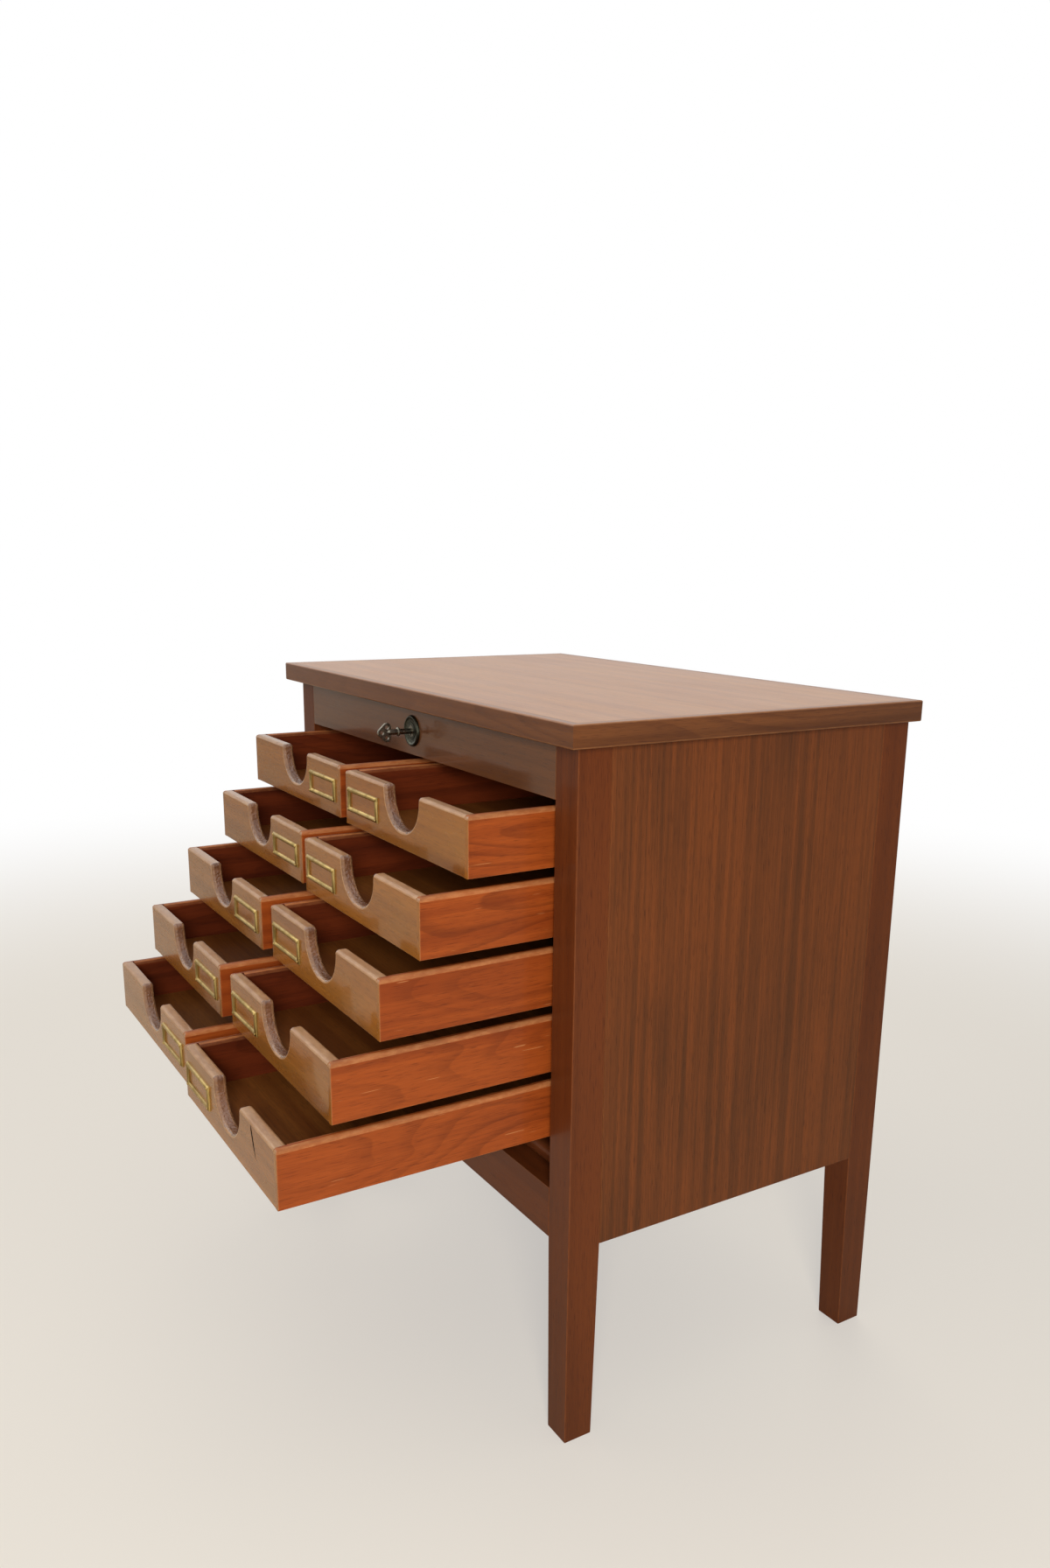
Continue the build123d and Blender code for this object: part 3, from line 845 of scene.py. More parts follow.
@dataclass(frozen=True)
class Finishes:
    """Every material of the cabinet."""

    case: Material
    leg: Material
    rail: Material
    top: Material
    lipping: Material
    lipping_top: Material
    side: Material
    inside: Material
    front: Material
    notch: Material
    tray: Material
    inner: Material
    crack: Material
    brass: Material
    bronze: Material
    nickel: Material
    steel: Material


def mix_finishes() -> Finishes:
    """Build all the materials."""
    return Finishes(**{name: recipe.build() for name, recipe in RECIPES.items()})


# --- Case ----------------------------------------------------------------------------------------


@dataclass
class Legs:
    """Four square legs that taper on their inner faces below the panels."""

    finishes: Finishes
    arris: float = 0.9 * MM
    foot_section: float = 30.5 * MM
    taper_height: float = 206 * MM

    def tree(self) -> bpy.types.NodeTree:
        """Build the geometry tree of a leg.

        Returns:
            A tree with inputs for the sections, the heights, the signs of the two inner
            faces and the leg's place.
        """
        s, given = new_tree("tapered_leg", {
            "Low Corner": "Vector", "Section": "Float", "Foot Section": "Float",
            "Height": "Float", "Taper Height": "Float", "Side": "Float", "End": "Float",
            "Timber": "Material"})
        size = s.out("ShaderNodeCombineXYZ", {
            0: given["Section"], 1: given["Section"], 2: given["Height"]})
        post = s.out("GeometryNodeMeshCube", {
            "Size": size, "Vertices X": 2, "Vertices Y": 2, "Vertices Z": 3})
        here = s.out("GeometryNodeInputPosition")
        at = s.add("ShaderNodeSeparateXYZ", {0: here}).outputs
        # the middle ring of the post moves to the height where the taper starts
        half = s.times(given["Height"], 0.5)
        ring = s.math("LESS_THAN", s.math("ABSOLUTE", at[2]), 1 * MM)
        lift = s.times(ring, s.math("SUBTRACT", given["Taper Height"], half))
        # the ring at the floor, near -half, draws in on the two inner faces only
        foot = s.math("LESS_THAN", at[2], s.times(half, -0.9))
        shrink = s.times(foot, s.math("SUBTRACT", given["Section"], given["Foot Section"]))

        def draw_in(value: Socket, sign: Socket) -> Socket:
            """Move the vertices of the inner face outwards, and leave the outer face."""
            inner = s.math("LESS_THAN", s.times(value, sign), 0.0)
            return s.times(s.times(inner, shrink), sign)

        moved = s.out("GeometryNodeSetPosition", {
            "Geometry": post, "Offset": s.out("ShaderNodeCombineXYZ", {
                0: draw_in(at[0], given["Side"]), 1: draw_in(at[1], given["End"]), 2: lift})})
        centre = s.vector("MULTIPLY", size, (0.5, 0.5, 0.5))
        placed = s.out("GeometryNodeTransform", {
            "Geometry": moved, "Translation": s.vector("ADD", centre, given["Low Corner"])})
        return close_tree(s, placed, given["Timber"])

    def build(self) -> None:
        """Make the four legs."""
        tree = self.tree()
        for side_name, side in (("left", -1.0), ("right", 1.0)):
            for end_name, end in (("front", -1.0), ("back", 1.0)):
                node = f"leg_{end_name}_{side_name}"
                low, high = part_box(node)
                shape = grown(f"{node}_post", tree, {
                    "Low Corner": tuple(low), "Section": high.x - low.x,
                    "Foot Section": self.foot_section, "Height": high.z - low.z,
                    "Taper Height": self.taper_height, "Side": side, "End": end,
                    "Timber": self.finishes.leg})
                ease(shape, self.arris, 2,
                     lambda edge: runs(edge, Axis.Z, 0.9) or near(middle(edge).z, 0))
                piece = Piece(f"{node}_timber").put(shape, Axis.Z)
                piece.settle("case", "case_wood", node, self.finishes.leg)


@dataclass
class Case:
    """Panels, rails, boards and the top."""

    finishes: Finishes
    arris: float = 0.5 * MM
    seam: float = 0.25 * MM
    top_arris: float = 1.5 * MM
    nose: float = 7 * MM
    bore_radius: float = 9.05 * MM  # for the barrel of the lock
    bar_slot: float = 4 * MM        # width of the slot for the locking bar
    bar_gap: float = 0.5 * MM       # between the bar and the ends of its slot
    rim: float = 3 * MM             # edges farther in than this belong to a lipping's seam
    upward: float = 0.7             # cosine from which a lipping's face belongs to the top and takes the lighter copy, a painted sheen

    def leg_faces(self) -> Triple:
        """X of the right legs' inner faces, and Y of the two faces that the side lies between."""
        low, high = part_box("leg_front_right")
        return low.x, high.y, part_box("leg_back_right")[0].y

    def panel(self, node: str, grain: Axis, material: Material, tool: Shape | None = None) -> None:
        """Make a plain board in the place of a node, without its tongues and tenons in the legs.

        Args:
            node: The node.
            grain: Direction of the grain.
            material: Its finish.
            tool: A closed shape that is cut out of it.
        """
        low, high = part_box(node)
        inner, front, back = self.leg_faces()
        if node.startswith("side_panel"):
            low.y, high.y = front, back
        else:
            low.x, high.x = -inner, inner
        shape = box_shape(low, high)
        ease(shape, self.arris)
        if tool:
            shape = hollowed(shape, tool)
        piece = Piece(f"{node}_board").put(shape, grain)
        piece.settle("case", "case_wood", node, material)

    def bottom_board(self) -> None:
        """Make the bottom board with its rounded nose, cut out round the legs and the bar."""
        low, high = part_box("bottom_board")
        inner, front, back = self.leg_faces()
        shape = slab_shape([
            (-inner, low.y), (inner, low.y), (inner, front), (high.x, front), (high.x, back),
            (inner, back), (inner, high.y), (-inner, high.y), (-inner, back), (low.x, back),
            (low.x, front), (-inner, front)], Axis.Z, low.z, high.z)
        ease(shape, self.nose, 6,
             lambda edge: runs(edge, Axis.X) and near(middle(edge).y, low.y), 0.5)
        bar_low, bar_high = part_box("locking_bar")
        slot = box_shape((-self.bar_slot / 2, bar_low.y - self.bar_gap, low.z - self.bar_gap),
                         (self.bar_slot / 2, bar_high.y + self.bar_gap, high.z + self.bar_gap))
        piece = Piece("bottom_board_with_nose").put(hollowed(shape, slot), Axis.X)
        piece.settle("case", "case_wood", "bottom_board", self.finishes.leg)

    def top(self) -> None:
        """Make the veneered board of the top."""
        board = box_shape(*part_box("top_panel"))
        ease(board, self.seam, 1, wear=0.4)
        piece = Piece("top_veneered_board").put(board, Axis.X)
        # its finish carries a painted sheen in its lightened colour
        piece.settle("case", "top_wood", "top_panel", self.finishes.top)

    def lippings(self) -> None:
        """Make the four mitred lippings round the top."""
        low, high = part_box("top_lippings")
        panel_low, panel_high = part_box("top_panel")
        outer, inner = rectangle(low.xy, high.xy), rectangle(panel_low.xy, panel_high.xy)
        piece = Piece("top_mitred_lippings")
        woods = self.finishes.lipping, self.finishes.lipping_top
        for index, grain in enumerate((Axis.X, Axis.Y, Axis.X, Axis.Y)):
            after = (index + 1) % 4
            strip = slab_shape([outer[index], outer[after], inner[after], inner[index]],
                               Axis.Z, low.z, high.z)
            across = Axis.Y.value if grain is Axis.X else Axis.X.value
            face = outer[index][across]
            ease(strip, self.top_arris, 3,
                 lambda edge: runs(edge, grain) and near(middle(edge)[across], face))
            ease(strip, self.seam, 1,
                 lambda edge: abs(middle(edge)[across] - face) > self.rim, 0.4)
            piece.put(strip, grain, tag=str(index))
        # upward faces take the lighter copy, a painted sheen; the other faces keep the plain
        # lipping wood
        for facet in piece.body.faces:
            facet.material_index = int(facet.normal.z > self.upward)
        piece.settle("case", "top_wood", "top_lippings", *woods)

    def lock_bore(self) -> Shape:
        """The shape of the bore for the lock in the front rail.

        Returns:
            A new shape.
        """
        low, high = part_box("lock_rosette")
        start, end = low.y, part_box("lock_case")[1].y
        profile = [(0, start), (self.bore_radius, start), (self.bore_radius, end), (0, end)]
        return turned_shape(profile, ((low.x + high.x) / 2, 0, (low.z + high.z) / 2))

    def build(self) -> None:
        """Make every board of the case."""
        for node in ("side_panel_left", "side_panel_right", "back_panel"):
            self.panel(node, Axis.Z, self.finishes.case)
        self.panel("top_front_rail", Axis.X, self.finishes.rail, self.lock_bore())
        self.panel("lower_front_rail", Axis.X, self.finishes.leg)
        self.bottom_board()
        self.top()
        self.lippings()


# --- Drawers -------------------------------------------------------------------------------------


def arc(x: float, z: float, radius: float, start: float, end: float, steps: int) -> list[Point]:
    """Points on an arc.

    Args:
        x: First coordinate of the centre.
        z: Second coordinate of the centre.
        radius: Radius.
        start: Angle of the first point in degrees.
        end: Angle of the last point in degrees.
        steps: Number of chords.

    Returns:
        The points in order.
    """
    angles = [math.radians(start + (end - start) * step / steps) for step in range(steps + 1)]
    return [(x + radius * math.cos(angle), z + radius * math.sin(angle)) for angle in angles]


@dataclass
class Drawer:
    """One tray drawer with its front, box, bottom and card holder."""

    column: Column
    row: int
    finishes: Finishes
    pins: bpy.types.NodeTree
    side_thickness: float = 10 * MM
    corner_lap: float = 6 * MM
    front_rounding: float = 3.2 * MM
    front_arris: float = 0.5 * MM
    side_rounding: float = 4 * MM
    side_arris: float = 0.8 * MM
    tail_thickness: float = 10 * MM
    tail_drop: float = 6 * MM       # of the rear board below the sides
    tail_rounding: float = 3 * MM
    notch_width: float = 70 * MM
    notch_floor: float = 17 * MM
    notch_corner: float = 33 * MM
    notch_shoulder: float = 4 * MM
    margin: float = 1 * MM          # how far from an edge its faces still belong to it
    squarely: float = 0.8           # cosine from which a face looks in a direction
    notch_slope: float = 0.9        # cosine up to which the notch's rounding is part of it
    dowel_radius: float = 2.5 * MM
    dowel_chamfer: Point = (0.3 * MM, 0.4 * MM)
    dowel_root: float = 4 * MM      # length of the catch dowel inside the side
    dowel_place: float = 44 * MM    # behind the face of the front
    holder_border: float = 5 * MM
    holder_thickness: float = 2.4 * MM
    holder_section: Sequence[Point] = (  # in shares of the border and the thickness
        (0.0, 0.0), (0.0, 0.35), (0.18, 0.8), (0.36, 1.0), (0.6, 1.0), (0.8, 0.72), (1.0, 0.4),
        (1.0, 0.0))
    pin_inset: float = 2.4 * MM
    pin_radius: float = 1.3 * MM
    pin_height: float = 0.7 * MM
    pin_level: float = 0.98         # in shares of the holder's thickness
    crack_place: float = 32.5 * MM  # beside the notch
    crack_run: Sequence[Point] = (  # in mm beside that place and from the upper edge
        (0.0, -3.4), (1.4, -9.0), (3.2, -14.5), (5.2, -20.0), (7.4, -25.5), (9.4, -31.0))
    crack_half_widths: Sequence[float] = (0.4, 1.7, 1.5, 1.5, 1.1, 0.3)
    crack_depth: Point = (-0.03 * MM, 0.6 * MM)
    rubbed: float = 1.7             # wear of the fronts' upper edges
    low: Vector = field(init=False)  # corners of the drawer without its catch dowel
    high: Vector = field(init=False)
    left: float = field(init=False)  # X of the front's ends and its middle
    right: float = field(init=False)
    centre: float = field(init=False)

    @property
    def name(self) -> str:
        """The drawer's name in the frame, which is also its body."""
        return f"drawer_{self.column.name.lower()}_{self.row}"

    def __post_init__(self) -> None:
        """Read the drawer's place from the frame."""
        front_low, front_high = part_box(f"{self.name}_front")
        box_low, box_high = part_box(f"{self.name}_box")
        self.low = Vector((front_low.x - self.corner_lap, front_low.y, box_low.z))
        self.high = Vector((front_high.x + self.corner_lap, box_high.y, box_high.z))
        self.left, self.right = self.low.x + self.corner_lap, self.high.x - self.corner_lap
        self.centre = (self.low.x + self.high.x) / 2

    def front_outline(self) -> list[Point]:
        """The outline of the front in X and Z, with its finger notch.

        Returns:
            Corners in order, arcs as short runs.
        """
        low, high, left, right, centre = self.low, self.high, self.left, self.right, self.centre
        half = self.notch_width / 2
        shoulder, corner = self.notch_shoulder, self.notch_corner
        floor = low.z + self.notch_floor
        return [(left, low.z), (right, low.z), (right, high.z),
                *arc(centre + half + shoulder, high.z - shoulder, shoulder, 90, 180, 6),
                *arc(centre + half - corner, floor + corner, corner, 0, -90, 18),
                *arc(centre - half + corner, floor + corner, corner, -90, -180, 18),
                *arc(centre - half - shoulder, high.z - shoulder, shoulder, 0, 90, 6),
                (left, high.z)]

    def front(self) -> None:
        """Make the front board."""
        front_low, front_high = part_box(f"{self.name}_front")
        shape = slab_shape(self.front_outline(), Axis.Y, front_low.y, front_high.y)
        floor = self.low.z + self.notch_floor - self.margin
        ease(shape, self.front_rounding, 4,
             lambda edge: not runs(edge, Axis.Y) and middle(edge).z > floor
             and self.left + self.margin < middle(edge).x < self.right - self.margin, self.rubbed)
        ease(shape, self.front_arris, 2,
             lambda edge: runs(edge, Axis.X) and near(middle(edge).z, self.low.z))
        piece = Piece(f"{self.name}_front_board").put(shape, Axis.X)
        woods = self.finishes.front, self.finishes.notch, self.finishes.crack
        reach = self.notch_width / 2 + self.notch_shoulder
        wear = piece.body.faces.layers.float[WEAR]
        for face in piece.body.faces:
            spot = face.calc_center_median()
            if spot.z > self.high.z - self.margin / 2:
                face[wear] = self.rubbed
            sloped = abs(face.normal.y) < self.notch_slope
            if sloped and abs(spot.x - self.centre) < reach and spot.z > floor:
                face.material_index = woods.index(self.finishes.notch)
        if (self.column, self.row) == CRACKED:
            piece.put(self.crack(), finish=woods.index(self.finishes.crack))
        piece.settle(self.name, "drawer_wood", f"{self.name}_front", *woods)

    def crack(self) -> Shape:
        """Make the dark line of a crack that runs down the front beside its notch: a painted
        shadow in the crack.

        Returns:
            A thin closed sliver, let into the face of the front.
        """
        start = self.centre + self.notch_width / 2 + self.crack_place
        left, right = ([(start + (x + side * half) * MM, self.high.z + z * MM)
                        for (x, z), half in zip(self.crack_run, self.crack_half_widths)]
                       for side in (-1, 1))
        face, root = self.crack_depth
        return slab_shape(left + right[::-1], Axis.Y, self.low.y + face, self.low.y + root)

    def side(self, hand: int) -> Shape:
        """Make a side of the box, rabbeted for the front.

        Args:
            hand: Sign of the side's X, as seen from the drawer's middle.

        Returns:
            A new shape.
        """
        low, high = self.low, self.high
        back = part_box(f"{self.name}_front")[1].y
        outer = low.x if hand < 0 else high.x
        inner, lip = outer - hand * self.side_thickness, outer - hand * self.corner_lap
        shape = slab_shape([
            (outer, low.y), (outer, high.y), (inner, high.y), (inner, back), (lip, back),
            (lip, low.y)], Axis.Z, low.z, high.z)

        def upper(edge: Edge) -> bool:
            """True for the long upper edges and the one over the front's end."""
            spot = middle(edge)
            return near(spot.z, high.z) and (
                runs(edge, Axis.Y) and (near(spot.x, outer) or near(spot.x, inner))
                or runs(edge, Axis.X) and near(spot.y, low.y))

        def lower(edge: Edge) -> bool:
            """True for the edges at the floor and the front of the outer face."""
            spot = middle(edge)
            return near(spot.x, outer) and (near(spot.z, low.z) or near(spot.y, low.y))

        ease(shape, self.side_rounding, 4, upper)
        ease(shape, self.side_arris, 2, lower, 0.4)
        return shape

    def tail(self) -> Shape:
        """Make the rear board of the box.

        Returns:
            A new shape.
        """
        low, high = self.low, self.high
        upper = high.z - self.tail_drop
        shape = box_shape((low.x + self.side_thickness, high.y - self.tail_thickness,
                           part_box(f"{self.name}_bottom")[1].z),
                          (high.x - self.side_thickness, high.y, upper))
        ease(shape, self.tail_rounding, 3,
             lambda edge: runs(edge, Axis.X) and near(middle(edge).z, upper))
        return shape

    def dowel(self) -> Shape:
        """Make the catch dowel, which stands out towards the cabinet's middle.

        Returns:
            A new shape.
        """
        inward = -self.column.value
        corner = 0 if inward < 0 else 1
        face, tip = (self.low, self.high)[corner].x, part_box(f"{self.name}_box")[corner].x
        radius, length = self.dowel_radius, abs(tip - face) + self.dowel_root
        narrowing, chamfer = self.dowel_chamfer
        shape = turned_shape([(0, 0), (radius - narrowing, 0), (radius, chamfer),
                              (radius, length), (0, length)], (0, 0, 0), 24)
        turn = Matrix.Rotation(math.pi / 2 * inward, 4, "Z")
        height = self.low.z + (self.high.z - self.low.z) / 2
        spot = Vector((tip, self.low.y + self.dowel_place, height))
        bmesh.ops.transform(shape, matrix=Matrix.Translation(spot) @ turn, verts=shape.verts)
        return shape

    def box(self) -> None:
        """Make the two sides, the rear board and the catch dowel as one piece."""
        piece = Piece(f"{self.name}_tray_box")
        for hand in (-1, 1):
            piece.put(self.side(hand), Axis.Y, tag=f"side{hand}")
        piece.put(self.tail(), Axis.X, tag="rear").put(self.dowel(), Axis.X, tag="dowel")
        woods = self.finishes.side, self.finishes.inside, self.finishes.front
        for face in piece.body.faces:
            spot = face.calc_center_median()
            if face.normal.y < -self.squarely and spot.y < self.low.y + self.margin:
                face.material_index = woods.index(self.finishes.front)
            # the inner faces take the darker copy of the cedar, as painted shade
            elif self.left < spot.x < self.right and face.normal.z < self.squarely:
                face.material_index = woods.index(self.finishes.inside)
        piece.settle(self.name, "drawer_wood", f"{self.name}_box", *woods)

    def tray(self) -> None:
        """Make the plywood bottom."""
        shape = box_shape(*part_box(f"{self.name}_bottom"))
        piece = Piece(f"{self.name}_plywood").put(shape, Axis.X)
        piece.settle(self.name, "tray_plywood", f"{self.name}_bottom", self.finishes.tray)

    def holder(self) -> None:
        """Make the card holder, a pressed frame with a raised ridge, and its four pins."""
        node = f"{self.name}_label_frame"
        low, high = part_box(node)
        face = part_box(f"{self.name}_front")[0].y
        shape = bmesh.new()
        loops = []
        for inward, up in self.holder_section:
            inset, level = inward * self.holder_border, face - up * self.holder_thickness
            loops.append([shape.verts.new((x, level, z))
                          for x, z in rectangle(low.xz, high.xz, inset)])
        for first, second in zip(loops, loops[1:] + loops[:1]):
            stitch(shape, first, second)
        heads = grown(f"{self.name}_pins", self.pins, {
            "Width": high.x - low.x - 2 * self.pin_inset,
            "Height": high.z - low.z - 2 * self.pin_inset,
            "Centre": ((low.x + high.x) / 2, face - self.holder_thickness * self.pin_level,
                       (low.z + high.z) / 2),
            "Head Radius": self.pin_radius, "Head Height": self.pin_height, "Seed": self.row,
            "Metal": self.finishes.brass})
        piece = Piece(f"{self.name}_card_holder").put(outward(shape)).put(heads)
        piece.settle(self.name, "brass", node, self.finishes.brass, crease=50.0)

    def build(self) -> None:
        """Make the whole drawer."""
        self.front()
        self.box()
        self.tray()
        self.holder()


def pin_tree() -> bpy.types.NodeTree:
    """Build the tree that sets four domed pin heads in a rectangle on a front.

    Returns:
        A tree with inputs for the rectangle, the heads, the place and the seed.
    """
    s, given = new_tree("card_holder_pins", {
        "Width": "Float", "Height": "Float", "Centre": "Vector", "Head Radius": "Float",
        "Head Height": "Float", "Seed": "Int", "Metal": "Material"})
    grid = s.out("GeometryNodeMeshGrid", {
        "Size X": given["Width"], "Size Y": given["Height"], "Vertices X": 2, "Vertices Y": 2})
    ball = s.out("GeometryNodeMeshUVSphere", {"Segments": 16, "Rings": 8, "Radius": 1.0})
    dome = s.out("GeometryNodeTransform", {
        "Geometry": ball, "Scale": s.out("ShaderNodeCombineXYZ", {
            0: given["Head Radius"], 1: given["Head Radius"], 2: given["Head Height"]})})
    # each head is turned at random and leans a little
    lean = 0.08
    turn = s.out("FunctionNodeRandomValue", {
        0: (-lean, -lean, 0.0), 1: (lean, lean, math.tau), "Seed": given["Seed"]},
        data_type="FLOAT_VECTOR")
    heads = s.out("GeometryNodeInstanceOnPoints", {
        "Points": grid, "Instance": dome, "Rotation": turn})
    placed = s.out("GeometryNodeTransform", {
        "Geometry": heads, "Translation": given["Centre"], "Rotation": (math.pi / 2, 0, 0)})
    return close_tree(s, placed, given["Metal"])


# --- Lock ----------------------------------------------------------------------------------------


@dataclass
class Lock:
    """The rosette and the key. The profiles are pairs of radius and Y in mm."""

    finishes: Finishes
    rosette_profile: Sequence[Point] = (
        (9.05, 0.0), (9.05, -1.3), (9.5, -1.7), (12.2, -1.9), (13.2, -2.2), (13.9, -2.8),
        (14.6, -3.0), (15.4, -2.8), (16.1, -2.0), (16.5, -0.9), (16.5, 0.0))
    lobe_radius: float = 4.7 * MM
    lobe_spread: float = 5.4 * MM   # of the two outer eyes from the key's axis
    lobe_reach: float = 5.6 * MM    # of the third eye beyond them
    eye_radius: float = 2.0 * MM
    bow_thickness: float = 2.6 * MM
    bow_rim: float = 0.5 * MM
    shank_root: Sequence[Point] = ((0.0, 0.0), (1.6, 0.0), (2.7, 2.0), (3.0, 3.0))  # from the bow
    shank_profile: Sequence[Point] = (  # from the face of the rail
        (3.0, -18.4), (3.9, -18.2), (4.6, -17.6), (4.6, -16.4), (3.9, -15.8), (3.0, -15.6),
        (3.0, 17.4), (2.4, 18.0), (0.0, 18.0))
    bit_width: float = 2.2 * MM
    bit_span: Point = (12 * MM, 18 * MM)
    bit_drop: float = 5 * MM
    bit_arris: float = 0.3 * MM

    def rosette(self) -> None:
        """Make the turned rosette."""
        low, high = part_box("lock_rosette")
        centre = ((low.x + high.x) / 2, high.y, (low.z + high.z) / 2)
        profile = [(radius * MM, level * MM) for radius, level in self.rosette_profile]
        piece = Piece("lock_turned_rosette").put(turned_shape(profile, centre, 72, ring=True))
        piece.settle("case", "dark_metal", "lock_rosette", self.finishes.bronze)

    def bow(self, centre: Vector) -> Shape:
        """Make the bow, a flat plate round three eyes, in the plane of Y and Z.

        Args:
            centre: The place on the shank between the two outer eyes.

        Returns:
            A new shape.
        """
        curve = bpy.data.curves.new("bow", "CURVE")
        curve.dimensions = "2D"
        curve.fill_mode = "BOTH"
        curve.bevel_depth = self.bow_rim
        curve.bevel_resolution = 2
        curve.extrude = self.bow_thickness / 2 - self.bow_rim

        def circle(spot: Point, radius: float, steps: int) -> list[Point]:
            """Points on a circle."""
            turns = [math.tau * step / steps for step in range(steps)]
            return [(spot[0] + radius * math.cos(turn), spot[1] + radius * math.sin(turn))
                    for turn in turns]

        lobes = [(0.0, self.lobe_spread), (0.0, -self.lobe_spread), (-self.lobe_reach, 0.0)]
        rims = [spot for lobe in lobes
                for spot in circle(lobe, self.lobe_radius - self.bow_rim, 48)]
        outlines = [[rims[index] for index in convex_hull_2d(rims)]]
        outlines += [circle(lobe, self.eye_radius + self.bow_rim, 24) for lobe in lobes]
        for outline in outlines:
            spline = curve.splines.new("POLY")
            spline.points.add(len(outline) - 1)
            for point, (x, y) in zip(spline.points, outline):
                point.co = (x, y, 0, 1)
            spline.use_cyclic_u = True
        thing = linked("bow", curve)
        mesh = evaluated(thing)
        bpy.data.objects.remove(thing)
        shape = shape_of(mesh)
        bmesh.ops.remove_doubles(shape, verts=shape.verts, dist=0.001 * MM)
        turn = Matrix(((0, 0, 1, 0), (1, 0, 0, 0), (0, 1, 0, 0), (0, 0, 0, 1)))
        bmesh.ops.transform(shape, matrix=Matrix.Translation(centre) @ turn, verts=shape.verts)
        return outward(shape)

    def key(self) -> None:
        """Make the key: bow, collared shank and bit."""
        rosette_low, rosette_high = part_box("lock_rosette")
        face, height = rosette_high.y, (rosette_low.z + rosette_high.z) / 2
        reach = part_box("key")[0].y + self.lobe_radius + self.lobe_reach
        centre = Vector((0, reach, height))
        shank = [(radius * MM, centre.y - face + level * MM) for radius, level in self.shank_root]
        shank += [(radius * MM, level * MM) for radius, level in self.shank_profile]
        start, end = self.bit_span
        bit = box_shape((-self.bit_width / 2, face + start, height - self.bit_drop),
                        (self.bit_width / 2, face + end, height))
        ease(bit, self.bit_arris)
        piece = Piece("key_with_pierced_bow").put(self.bow(centre))
        piece.put(turned_shape(shank, (0, face, height), 40)).put(bit)
        piece.settle("key", "nickel", "key", self.finishes.nickel)

    def build(self) -> None:
        """Make the rosette and the key."""
        self.rosette()
        self.key()


def dress_nodes(finishes: Finishes) -> None:
    """Give each node that is carried over its finish.

    Args:
        finishes: The materials of the cabinet.
    """
    chosen = {
        "centre_partition": finishes.inner, "drawer_runners": finishes.inner,
        "lock_case": finishes.bronze, "lock_screws": finishes.steel,
        "lock_plug": finishes.nickel, "locking_bar": finishes.steel,
    }
    for name, material in chosen.items():
        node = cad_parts[name]
        node.data.materials.clear()
        node.data.materials.append(material)
        log.info("%s: carried over in %s", name, material.name)


# --- Stage ---------------------------------------------------------------------------------------


class Light(Enum):
    """What a lamp adds to a surface: its colour, its shine, or both."""

    BODY = "body"
    SHINE = "shine"
    BOTH = "both"


@dataclass(frozen=True)
class Lamp:
    """A soft square lamp."""

    name: str
    spot: Triple
    aim: Triple
    size: float                    # length of a side
    power: float                   # in watts
    light: Light = Light.BOTH

    def build(self) -> None:
        """Add the lamp to the scene."""
        data = bpy.data.lights.new(self.name, "AREA")
        data.shape = "SQUARE"
        data.size = self.size
        data.energy = self.power
        lamp = linked(self.name, data)
        lamp.visible_camera = False
        lamp.visible_diffuse = self.light is not Light.SHINE
        lamp.visible_glossy = self.light is not Light.BODY
        lamp.location = self.spot
        lamp.rotation_mode = "QUATERNION"
        aim = Vector(self.aim) - Vector(self.spot)
        lamp.rotation_quaternion = aim.to_track_quat("-Z", "Y")


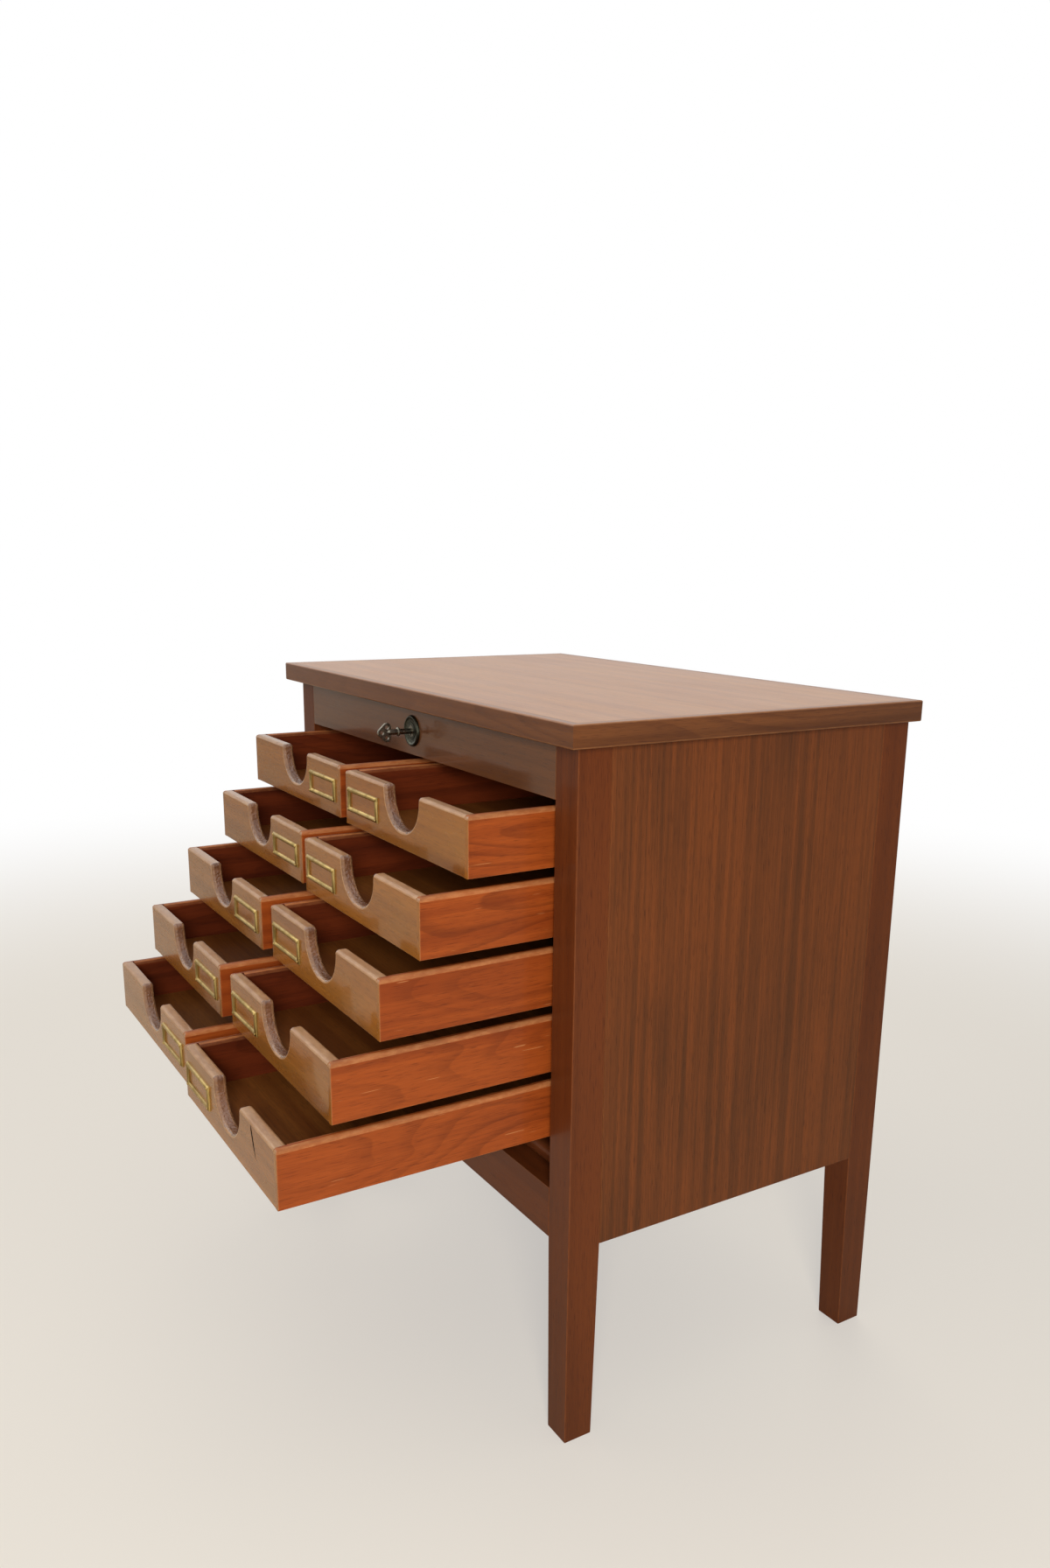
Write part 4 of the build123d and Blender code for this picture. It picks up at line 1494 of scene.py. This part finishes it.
@dataclass
class Studio:
    """A pale floor, a white surround, soft lamps and the camera."""

    lens: float = 27.604
    shift: Point = (-0.00907, 0.0487)
    spot: Triple = (1.138193, -0.61986, 0.82871)
    right: Triple = (0.5274904, 0.84946488, 0.01277869)
    down: Triple = (0.21210819, -0.11711739, -0.97020288)
    ahead: Triple = (-0.82265667, 0.51448317, -0.24195676)
    clip: Point = (0.05, 60.0)
    floor_size: float = 14.0
    floor_colour: str = "DFD0B6"
    fade: Point = (1.1, 3.0)       # distances between which the floor turns white
    fade_start: float = 0.42       # how white it is up to the first
    surround_light: float = 0.32   # what the surround adds to the light on the cabinet
    lamps: Sequence[Lamp] = (
        Lamp("key_lamp", (1.85, -1.0, 1.12), (0.0, 0.0, 0.45), 0.55, 32, Light.BODY),
        Lamp("glint_lamp", (1.85, -1.0, 1.12), (0.0, 0.0, 0.45), 0.55, 12, Light.SHINE),
        Lamp("fill_lamp", (-1.9, -1.8, 2.4), (0.0, 0.0, 0.4), 2.2, 20),
        Lamp("back_lamp", (-2.6, 2.0, 1.5), (0.0, 0.0, 0.5), 2.4, 26, Light.BODY),
        Lamp("top_lamp", (0.2, 0.1, 2.9), (0.0, 0.0, 0.0), 2.4, 8),
    )

    def camera(self) -> None:
        """Set up the camera."""
        data = bpy.data.cameras.new("viewpoint")
        data.lens = self.lens
        data.shift_x, data.shift_y = self.shift
        data.clip_start, data.clip_end = self.clip
        camera = linked("viewpoint", data)
        turn = Matrix((self.right, [-v for v in self.down], [-v for v in self.ahead]))
        camera.matrix_world = Matrix.Translation(self.spot) @ turn.transposed().to_4x4()
        bpy.context.scene.camera = camera

    def floor(self) -> None:
        """Make the floor, which fades into the white surround."""
        material, s = new_material("pale_floor")
        place = s.add("ShaderNodeTexCoord").outputs["Object"]
        away = s.add("ShaderNodeVectorMath", {0: place}, operation="LENGTH").outputs["Value"]
        fade = s.spread(away, *self.fade, self.fade_start, 1.0)
        path = s.add("ShaderNodeLightPath").outputs
        seen = s.math("MAXIMUM", path["Is Camera Ray"], path["Is Transmission Ray"])
        plain = s.out("ShaderNodeBsdfPrincipled", {
            "Base Color": colour(self.floor_colour), "Roughness": 0.6})
        white = s.out("ShaderNodeEmission", {"Color": WHITE, "Strength": 1.0})
        close_material(s, s.out("ShaderNodeMixShader", {
            0: s.times(fade, seen), 1: plain, 2: white}))
        shape = bmesh.new()
        bmesh.ops.create_grid(shape, x_segments=1, y_segments=1, size=self.floor_size)
        floor = linked("floor", mesh_of(shape, "floor"))
        floor.data.materials.append(material)

    def surround(self) -> None:
        """Make the white world."""
        world = bpy.data.worlds.new("surround")
        bpy.context.scene.world = world
        world.use_nodes = True
        world.node_tree.nodes.clear()
        s = Sheet(world.node_tree)
        path = s.add("ShaderNodeLightPath").outputs
        seen = s.math("MAXIMUM", path["Is Camera Ray"], path["Is Glossy Ray"])
        seen = s.math("MAXIMUM", seen, path["Is Transmission Ray"])
        strength = s.math("MULTIPLY_ADD", seen, 1 - self.surround_light, self.surround_light)
        sky = s.out("ShaderNodeBackground", {"Color": WHITE, "Strength": strength})
        s.add("ShaderNodeOutputWorld", {"Surface": sky})

    def build(self) -> None:
        """Set the whole stage."""
        bpy.context.scene.view_settings.view_transform = "Standard"
        self.camera()
        self.floor()
        self.surround()
        for lamp in self.lamps:
            lamp.build()


def main() -> None:
    """Build the cabinet and the stage."""
    finishes = mix_finishes()
    Studio().build()
    Legs(finishes).build()
    Case(finishes).build()
    pins = pin_tree()
    for column in Column:
        for row in range(1, ROWS + 1):
            Drawer(column, row, finishes, pins).build()
    Lock(finishes).build()
    dress_nodes(finishes)


if __name__ == "__main__":
    main()
